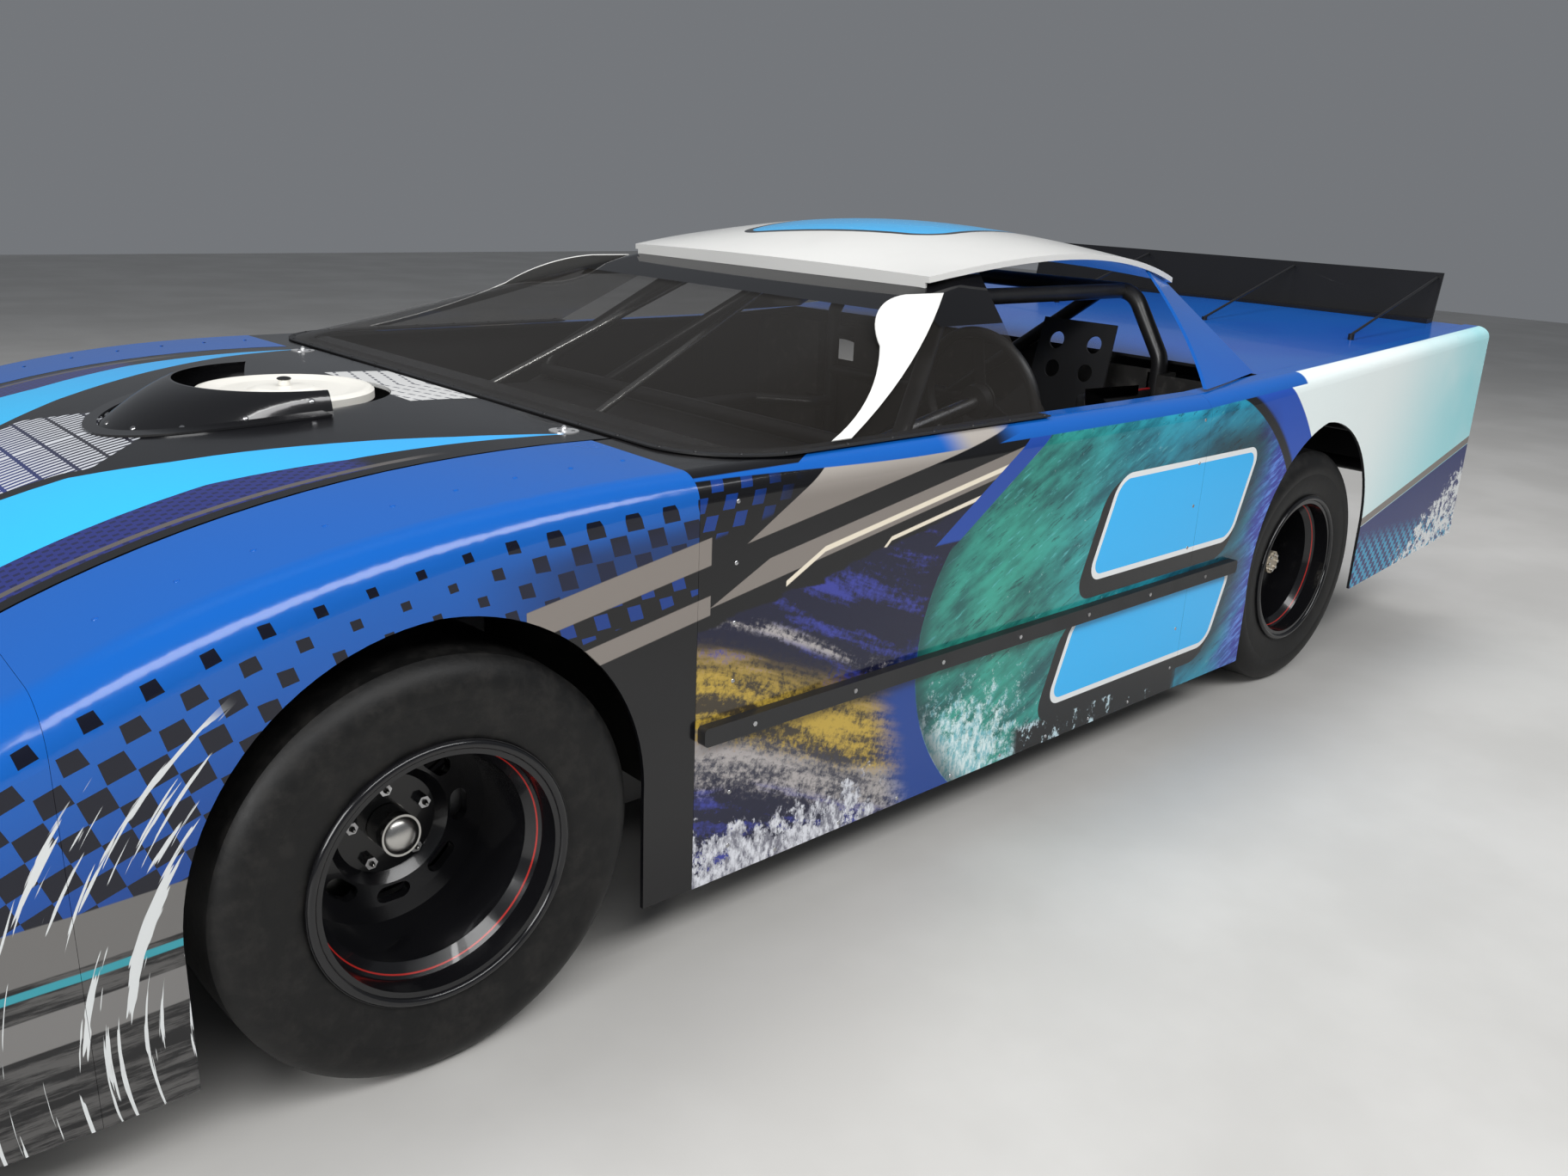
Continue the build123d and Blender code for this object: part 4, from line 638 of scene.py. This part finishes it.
# Hood scoop: a vacuum-formed gloss black horseshoe with smooth sides.
# It is screwed to the hood by its flange.
scoop_gloss = Finish("scoop_gloss_black", base_color=(0.007, 0.007, 0.008, 1), coat_weight=0.4)
scoop_gloss.feed(roughness=0.10 + 0.14 * scoop_gloss.noise(9, 4))
scoop_gloss.bump(scoop_gloss.noise(12, 2), 0.002, 0.15)
scoop_gloss.onto("hood_scoop")

# Air cleaner: a dished white lid over a pleated paper filter on a black base.
# The pleats are drawn by a bump that runs round the filter, and the paper is painted darker down in each
# fold: painted shade.
lid_bottom = 0.872
cleaner_x = 1.125
pleats_per_radian = 24
lid_white = Finish("cleaner_lid_white")
turn = lid_white.y.angle(lid_white.x - cleaner_x)
pleat = abs((turn * pleats_per_radian).fraction() - 0.5) * 2
on_lid = lid_white.z.rise(lid_bottom - 0.001, lid_bottom + 0.0005)
lid_shade = lid_white.mix(lid_white.noise(5, 4).rise(0.4, 0.8) * 0.5, (0.80, 0.78, 0.72), (0.66, 0.64, 0.59))
# Painted shade: the paper's colour follows the pleat, dark down in each fold and lighter on each crest.
pleat_shaded_paper = lid_white.mix(pleat, (0.010, 0.010, 0.010), (0.07, 0.07, 0.065))
lid_white.feed(base_color=lid_white.mix(on_lid, pleat_shaded_paper, lid_shade), roughness=0.75 - 0.45 * on_lid)
lid_white.bump(pleat * (1 - on_lid), 0.004, 1.0)
lid_white.onto("air_cleaner")

# Roof and post covers: moulded gloss white panels. The roof carries a blank cyan panel in black shadow.
# Its front edge is rolled down over the glass.
roof_white = Finish("roof_gloss_white", coat_weight=0.4, coat_roughness=0.04)
x, y = roof_white.x, roof_white.y
white = roof_white.mix(roof_white.noise(2, 3).rise(0.4, 0.8) * 0.4, (0.76, 0.755, 0.73), (0.67, 0.665, 0.645))
across = (abs(x + 0.62 + 0.25 * y) - 0.20).most(0)
along = (abs(y) - 0.22).most(0)
patch = (across * across + along * along).root()
top = roof_white.z.rise(1.13, 1.135)
white = roof_white.mix((1 - patch.past(0.086)) * top, white, film_black)
white = roof_white.mix((1 - patch.past(0.065)) * top, white, cyan)
roof_white.feed(base_color=white, roughness=0.12 + 0.08 * roof_white.noise(5, 3))
roof_white.bump(roof_white.noise(3, 2), 0.003, 0.2)
roof_white.onto("roof", "windscreen_post_covers")

# Windscreen: one bent clear polycarbonate sheet, smoky at a glancing view, with a black visor band of film
# along its top that ends in a square tail on each side glass.
clear = Finish("clear_sheet", ior=1.35, specular_ior_level=0.25)
x, y, z = clear.x, abs(clear.y), clear.z
over_front = z.rise(1.0595, 1.0605) * (1 - y.rise(0.62, 0.63))
square_tail = z.rise(1.033, 1.034) * y.rise(0.60, 0.62) * (x < -0.02)
visor = (over_front + square_tail).least(1)
glance = clear.node("LayerWeight", None, {"Blend": 0.35}, "Facing")
clear.feed(
    base_color=clear.mix(visor, (0.030, 0.027, 0.024), (0.005, 0.005, 0.006)),
    alpha=(0.18 + 0.30 * glance * glance + 0.03 * clear.noise(2, 3)).most(visor),
    roughness=0.03 + 0.03 * clear.noise(6, 3),
)
clear.material.surface_render_method = "BLENDED"
clear.onto("windscreen")

# Spoiler: a black sheet across the tail, on a foot angle and held by stay rods.
# It is wiped clean more often than the deck, so only faint marks show.
spoiler_black = Finish("spoiler_black", base_color=(0.010, 0.010, 0.011, 1))
spoiler_black.feed(roughness=0.22 + 0.2 * spoiler_black.noise(4, 3))
spoiler_black.onto("spoiler")

# Wheels: deep-dish steel rims in gloss black with a red pinstripe inside the lip.
# Brake dust dulls the barrel behind the disc.
corners = ("front_left", "front_right", "rear_left", "rear_right")
axle_x = 1.32
wheel_z = 0.335
rim_black = Finish("rim_gloss_black", coat_weight=0.3, specular_ior_level=0.35)
from_axle = abs(rim_black.x) - axle_x
from_hub = rim_black.z - wheel_z
reach_out = (from_axle * from_axle + from_hub * from_hub).root()
stripe = reach_out.between(0.1790, 0.1808, 0.0003) * abs(rim_black.y).rise(0.86, 0.87)
rim_black.feed(
    base_color=rim_black.mix(stripe, (0.006, 0.006, 0.007), (0.40, 0.02, 0.015)),
    roughness=0.10 + 0.15 * rim_black.noise(10, 4),
)
rim_black.onto(*(f"wheel_{corner}" for corner in corners))

# Tyres: smooth slick rubber, scuffed grey on the tread and dull on the wall.
# Fine crumbs of rubber roughen the tread.
rubber = Finish("slick_rubber", specular_ior_level=0.3)
scuff = rubber.noise(28, 5, 0.7)
rubber.feed(
    base_color=rubber.mix(scuff.rise(0.4, 0.75), (0.004, 0.004, 0.004), (0.014, 0.013, 0.012)),
    roughness=0.36 + 0.3 * scuff,
)
rubber.bump(rubber.noise(55, 4, 0.7), 0.0012, 0.4)
rubber.onto(*(f"tyre_{corner}" for corner in corners))

# Hubs and brake discs: machined steel, with a domed cap that stands out of the wheel.
# The swept face of the disc is polished by the pads.
machined = Finish("machined_steel", metallic=1.0)
machined.feed(
    base_color=machined.mix(machined.noise(20, 3), (0.62, 0.61, 0.58), (0.45, 0.44, 0.42)),
    roughness=0.18 + 0.16 * machined.noise(9, 3),
)
machined.onto(*(f"hub_{corner}" for corner in corners))


# Bolts along the windscreen trim: black button heads every hand's width.
# One node group sets every rivet, bolt and nut below; a ray cast onto the CAD finds its seat.
def fixing_group():
    """Sets a head on every point of a mesh, turned to the point's own facing."""
    group = bpy.data.node_groups.new("fixings", "GeometryNodeTree")
    for name, kind in (
        ("Geometry", "Geometry"), ("Radius", "Float"), ("Height", "Float"),
        ("Sides", "Int"), ("Domed", "Bool"), ("Material", "Material"),
    ):
        group.interface.new_socket(name, in_out="INPUT", socket_type="NodeSocket" + kind)
    group.interface.new_socket("Geometry", in_out="OUTPUT", socket_type="NodeSocketGeometry")

    def add(kind, values=None, **settings):
        node = group.nodes.new(kind)
        for key, value in settings.items():
            setattr(node, key, value)
        for key, value in (values or {}).items():
            if isinstance(value, bpy.types.NodeSocket):
                group.links.new(value, node.inputs[key])
            else:
                node.inputs[key].default_value = value
        return node

    given = add("NodeGroupInput").outputs
    size = add("ShaderNodeCombineXYZ", {"X": given["Radius"], "Y": given["Radius"], "Z": given["Height"]})
    ball = add("GeometryNodeMeshUVSphere", {"Segments": given["Sides"], "Rings": 6, "Radius": 1.0})
    prism = add("GeometryNodeMeshCylinder", {"Vertices": given["Sides"], "Radius": 1.0, "Depth": 2.0})
    head = add(
        "GeometryNodeSwitch",
        {"Switch": given["Domed"], "False": prism.outputs["Mesh"], "True": ball.outputs["Mesh"]},
        input_type="GEOMETRY",
    )
    sized = add("GeometryNodeTransform", {"Geometry": head.outputs[0], "Scale": size.outputs[0]})
    facing = add("GeometryNodeInputNamedAttribute", {"Name": "facing"}, data_type="FLOAT_VECTOR")
    turned = add("FunctionNodeAlignRotationToVector", {"Vector": facing.outputs["Attribute"]}, axis="Z")
    heads = add(
        "GeometryNodeInstanceOnPoints",
        {"Points": given["Geometry"], "Instance": sized.outputs[0], "Rotation": turned.outputs[0]},
    )
    real = add("GeometryNodeRealizeInstances", {"Geometry": heads.outputs[0]})
    painted = add("GeometryNodeSetMaterial", {"Geometry": real.outputs[0], "Material": given["Material"]})
    group.links.new(painted.outputs[0], add("NodeGroupOutput").inputs[0])
    return group


def fixings(name, body, finish, starts, way, seat, radius, height, sides, domed=True):
    """Heads where rays from the starts first meet the seat, a CAD node or an added piece by name."""
    surface = nodes[seat] if seat in nodes else bpy.data.objects[seat]
    tree = BVHTree.FromObject(surface, bpy.context.evaluated_depsgraph_get())
    spots, facings = [], []
    for start in starts:
        spot, facing, _, _ = tree.ray_cast(Vector(start), Vector(way))
        spots.append(spot)
        facings.extend(facing)
    mesh = bpy.data.meshes.new(name)
    mesh.from_pydata(spots, [], [])
    mesh.attributes.new("facing", "FLOAT_VECTOR", "POINT").data.foreach_set("vector", facings)
    row = bpy.data.objects.new(name, mesh)
    scene.collection.objects.link(row)
    modifier = row.modifiers.new("fixings", "NODES")
    modifier.node_group = heads_on_points
    chosen = {"Radius": radius, "Height": height, "Sides": sides, "Domed": domed, "Material": finish.material}
    for item in heads_on_points.interface.items_tree:
        if item.in_out == "INPUT" and item.name in chosen:
            modifier[item.identifier] = chosen[item.name]
    made = bpy.data.meshes.new_from_object(row.evaluated_get(bpy.context.evaluated_depsgraph_get()))
    row.modifiers.clear()
    row.data = made
    made.name = name
    made.shade_smooth()
    made.set_sharp_from_angle(angle=sharp_turn)
    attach(row, body)


heads_on_points = fixing_group()
sharp_turn = math.radians(40)
down = (0, 0, -1)
# Rays fall from above the roof and come in from beside the body.
above = 1.3
# The windscreen's foot: its front edge, half its width and the radius of its corners.
foot_front = 0.797
foot_half = 0.931
foot_corner = 0.195
trim_starts = [(foot_front, (i - 5.5) * 0.12, above) for i in range(12)]
for side in (-1, 1):
    for degrees in (12, 33, 56, 80):
        bend = math.radians(degrees)
        around = foot_half - foot_corner + foot_corner * math.sin(bend)
        trim_starts.append((foot_front - foot_corner + foot_corner * math.cos(bend), side * around, above))
    trim_starts += [(0.49 - 0.115 * i, side * foot_half, above) for i in range(6)]
fixings(
    "trim_bolts", "car", black_plastic, trim_starts, down, "windscreen_trim",
    radius=0.0042, height=0.0028, sides=10,
)

# Body rivets: flush blue heads along the tops of the fenders, and plain ones down each door's front and
# rear edge and along its sill. Small bolts hold the rub rails.
sides_of_car = ((1, "left"), (-1, "right"))
beside = 1.2
door_front, door_rear = 0.775, -0.672
sill_height, rail_height = 0.142, 0.424
for side, hand in sides_of_car:
    inward = (0, -side, 0)
    fender_starts = [(0.90 + 0.10 * i, side * 0.822, above) for i in range(9)]
    fixings(
        f"fender_rivets_{hand}", "car", blue_film, fender_starts, down, "front_fenders",
        radius=0.0045, height=0.0018, sides=10,
    )
    edge_starts = [(x, side * beside, 0.19 + 0.105 * i) for x in (door_front, door_rear) for i in range(7)]
    edge_starts += [(0.66 - 0.165 * i, side * beside, sill_height) for i in range(8)]
    fixings(
        f"door_rivets_{hand}", "car", bright_steel, edge_starts, inward, "door_panels",
        radius=0.0042, height=0.0016, sides=10,
    )
    rail_starts = [(0.74 - 0.247 * i, side * beside, rail_height) for i in range(7)]
    fixings(
        f"rail_bolts_{hand}", "car", bright_steel, rail_starts, inward, "rub_rails",
        radius=0.0050, height=0.0020, sides=6, domed=False,
    )

# Hood fixings: screws round the scoop's flange, and a steel plate with an upright pin at each rear corner.
# The air cleaner's lid is held by one low nut.
bare_sheet = Finish("polished_sheet", metallic=0.7, roughness=0.3)
bare_sheet.feed(base_color=bare_sheet.mix(bare_sheet.noise(60, 3), (0.80, 0.80, 0.80), (0.62, 0.62, 0.63)))
scoop_ahead = 0.326
scoop_half = 0.215
flange_starts = []
for i in range(9):
    bend = math.radians(-84 + 21 * i)
    flange_starts.append((cleaner_x + scoop_ahead * math.cos(bend), scoop_half * math.sin(bend), above))
fixings(
    "scoop_screws", "hood", bright_steel, flange_starts, down, "hood_scoop",
    radius=0.0055, height=0.0025, sides=12,
)
pin_x, pin_y = 0.853, 0.575
pin_starts = [(pin_x, -pin_y, above), (pin_x, pin_y, above)]
around_pin = ((0.014, 0.009), (-0.012, 0.012), (0.0, -0.017))
screw_starts = [(x + dx, y + dy, z) for x, y, z in pin_starts for dx, dy in around_pin]
fixings(
    "pin_plates", "hood", bare_sheet, pin_starts, down, "hood",
    radius=0.027, height=0.0016, sides=28, domed=False,
)
fixings(
    "pin_posts", "hood", bare_sheet, pin_starts, down, "hood",
    radius=0.0065, height=0.011, sides=14,
)
fixings(
    "pin_screws", "hood", bright_steel, screw_starts, down, "hood",
    radius=0.0045, height=0.0035, sides=10,
)
lid_start = [(cleaner_x, 0, above)]
fixings("lid_nut", "car", black_plastic, lid_start, down, "air_cleaner", radius=0.014, height=0.004, sides=16)

# Wheel nuts and caps: five plated nuts on turned studs hold each wheel.
# The front hubs are closed by a domed steel cap.
nut_circle = 0.0635


def round_axle(x, y, circle, count, first=0.0):
    """Places evenly spread round a wheel's axle."""
    turns = [math.tau * (i + first) / count for i in range(count)]
    return [(x + circle * math.cos(turn), y, wheel_z + circle * math.sin(turn)) for turn in turns]


for corner in corners:
    x = axle_x if corner.startswith("front") else -axle_x
    side = 1 if corner.endswith("left") else -1
    inward = (0, -side, 0)
    body = "wheel_" + corner
    nut_starts = round_axle(x, side * beside, nut_circle, 5, first=0.2)
    fixings(
        f"wheel_nuts_{corner}", body, bright_steel, nut_starts, inward, body,
        radius=0.0105, height=0.014, sides=6, domed=False,
    )
    fixings(
        f"wheel_studs_{corner}", body, machined, nut_starts, inward, body,
        radius=0.0062, height=0.024, sides=12,
    )
    if corner.startswith("front"):
        centre = [(x, side * beside, wheel_z)]
        fixings(
            f"hub_cap_{corner}", body, machined, centre, inward, "hub_" + corner,
            radius=0.0320, height=0.013, sides=36,
        )
        fixings(
            f"hub_cap_rim_{corner}", body, machined, centre, inward, "hub_" + corner,
            radius=0.0335, height=0.003, sides=36, domed=False,
        )


# Rolled rim edges: the steel of each rim turns over into a round bead at its outer and inner lip.
# The bead is the rim's own gloss black and lies on the tyre's bead seat.
def tube(name, body, finish, points, radius, ring=False):
    """A round bar bent through points, closed if it is a ring."""
    curve = bpy.data.curves.new(name, "CURVE")
    curve.dimensions = "3D"
    curve.bevel_depth = radius
    curve.bevel_resolution = 4
    curve.use_fill_caps = True
    spline = curve.splines.new("POLY")
    spline.points.add(len(points) - 1)
    for place, point in zip(spline.points, points):
        place.co = (*point, 1)
    spline.use_cyclic_u = ring
    drawn = bpy.data.objects.new(name, curve)
    scene.collection.objects.link(drawn)
    mesh = bpy.data.meshes.new_from_object(drawn.evaluated_get(bpy.context.evaluated_depsgraph_get()))
    bpy.data.objects.remove(drawn)
    bpy.data.curves.remove(curve)
    made = bpy.data.objects.new(name, mesh)
    mesh.materials.clear()
    mesh.materials.append(finish.material)
    mesh.shade_smooth()
    mesh.set_sharp_from_angle(angle=sharp_turn)
    scene.collection.objects.link(made)
    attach(made, body)


lip_radius = 0.2015
lip_out = 0.1375
bead_radius = 0.0075
front_half_track = 0.838
rear_half_track = 0.812
for corner in corners:
    in_front = corner.startswith("front")
    x, half_track = (axle_x, front_half_track) if in_front else (-axle_x, rear_half_track)
    side = 1 if corner.endswith("left") else -1
    for end, way in (("outer", 1), ("inner", -1)):
        points = round_axle(x, side * (half_track + way * lip_out), lip_radius, 72)
        tube(f"rim_edge_{end}_{corner}", "wheel_" + corner, rim_black, points, bead_radius, ring=True)

# Rear drive flanges: a round tan flange stands out of each rear hub, with eight bolts through its face.
# It turns with the wheel and sits on the hub's end.
flange_tan = Finish("flange_tan", metallic=0.8)
flange_tan.feed(
    base_color=flange_tan.mix(flange_tan.noise(40, 3), (0.42, 0.36, 0.28), (0.60, 0.53, 0.42)),
    roughness=0.3 + 0.2 * flange_tan.noise(25, 3),
)
flange_radius = 0.033
flange_in, flange_out = 0.818, 0.881
bolt_circle = 0.023
for side, hand in sides_of_car:
    body = "wheel_rear_" + hand
    flange = "drive_flange_rear_" + hand
    ends = [(-axle_x, side * y, wheel_z) for y in (flange_in, flange_out)]
    tube(flange, body, flange_tan, ends, flange_radius)
    bolt_starts = round_axle(-axle_x, side * beside, bolt_circle, 8)
    fixings(
        f"flange_bolts_rear_{hand}", body, machined, bolt_starts, (0, -side, 0), flange,
        radius=0.0048, height=0.0055, sides=6, domed=False,
    )

# Windscreen braces: two bright tubes inside the glass, from the roof hoop down to the dash.
# Each ends in a small round foot.
dash_top = 0.7445
hoop_front, hoop_low = -0.175, 1.048
brace_radius, foot_radius, foot_thick = 0.0095, 0.024, 0.006
braces = (
    # name, top across the car, foot along and across
    ("windscreen_brace_near", -0.05, (0.555, 0.10)),
    ("windscreen_brace_far", -0.37, (0.60, -0.36)),
)
for name, top_y, foot in braces:
    tube(name, "car", machined, [(hoop_front, top_y, hoop_low), (*foot, dash_top)], brace_radius)
    foot_ends = [(*foot, dash_top), (*foot, dash_top + foot_thick)]
    tube(name + "_foot", "car", machined, foot_ends, foot_radius)

# Shoulder rest: foam in grained black vinyl, a little crowned, with red cord sewn along its edge.
# It stands beside the seat on a bracket of bright sheet.
pad_vinyl = Finish("pad_vinyl", base_color=(0.011, 0.011, 0.012, 1))
grain = pad_vinyl.node("TexVoronoi", None, {"Vector": pad_vinyl.place, "Scale": 420.0}, "Distance")
pad_vinyl.bump(grain, 0.0006, 0.5)
pad_vinyl.feed(roughness=0.42 + 0.2 * pad_vinyl.noise(40, 3))
cord_red = Finish("cord_red", roughness=0.6)
cord_red.feed(base_color=cord_red.mix(cord_red.noise(200, 2), (0.30, 0.008, 0.012), (0.45, 0.015, 0.02)))
pad_box = ((-0.985, 0.590, 0.750), (-0.680, 0.632, 0.826))
bracket_y = 0.637
bracket_sheet = 0.004
outline = (
    (-0.655, 0.846), (-0.900, 0.838), (-0.900, 0.812), (-0.735, 0.816),
    (-0.810, 0.772), (-0.760, 0.764), (-0.662, 0.806),
)
sheet = bmesh.new()
sheet.faces.new([sheet.verts.new((x, bracket_y, z)) for x, z in outline])
bmesh.ops.solidify(sheet, geom=sheet.faces[:], thickness=bracket_sheet)
pad = bmesh.new()
bmesh.ops.create_cube(pad, size=1.0)
bmesh.ops.subdivide_edges(pad, edges=pad.edges[:], cuts=11, use_grid_fill=True)
# Every point of the block is pulled in onto a superellipsoid of this power.
crown = 8
for vertex in pad.verts:
    spread = sum(abs(2 * part) ** crown for part in vertex.co) ** (1 / crown)
    spans = zip(*pad_box, vertex.co)
    vertex.co = Vector([low + (high - low) * (part / spread + 0.5) for low, high, part in spans])
for name, shape, finish in (("shoulder_bracket", sheet, bare_sheet), ("shoulder_pad", pad, pad_vinyl)):
    mesh = bpy.data.meshes.new(name)
    shape.to_mesh(mesh)
    shape.free()
    mesh.materials.append(finish.material)
    made = bpy.data.objects.new(name, mesh)
    mesh.shade_smooth()
    mesh.set_sharp_from_angle(angle=sharp_turn)
    scene.collection.objects.link(made)
    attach(made, "car")
# The last one made is the pad.
piping_radius = 0.0032
piping = [(x, 0.6285, 0.8225) for x in (-0.700, -0.965)]
tube("shoulder_piping", "car", cord_red, piping, piping_radius)
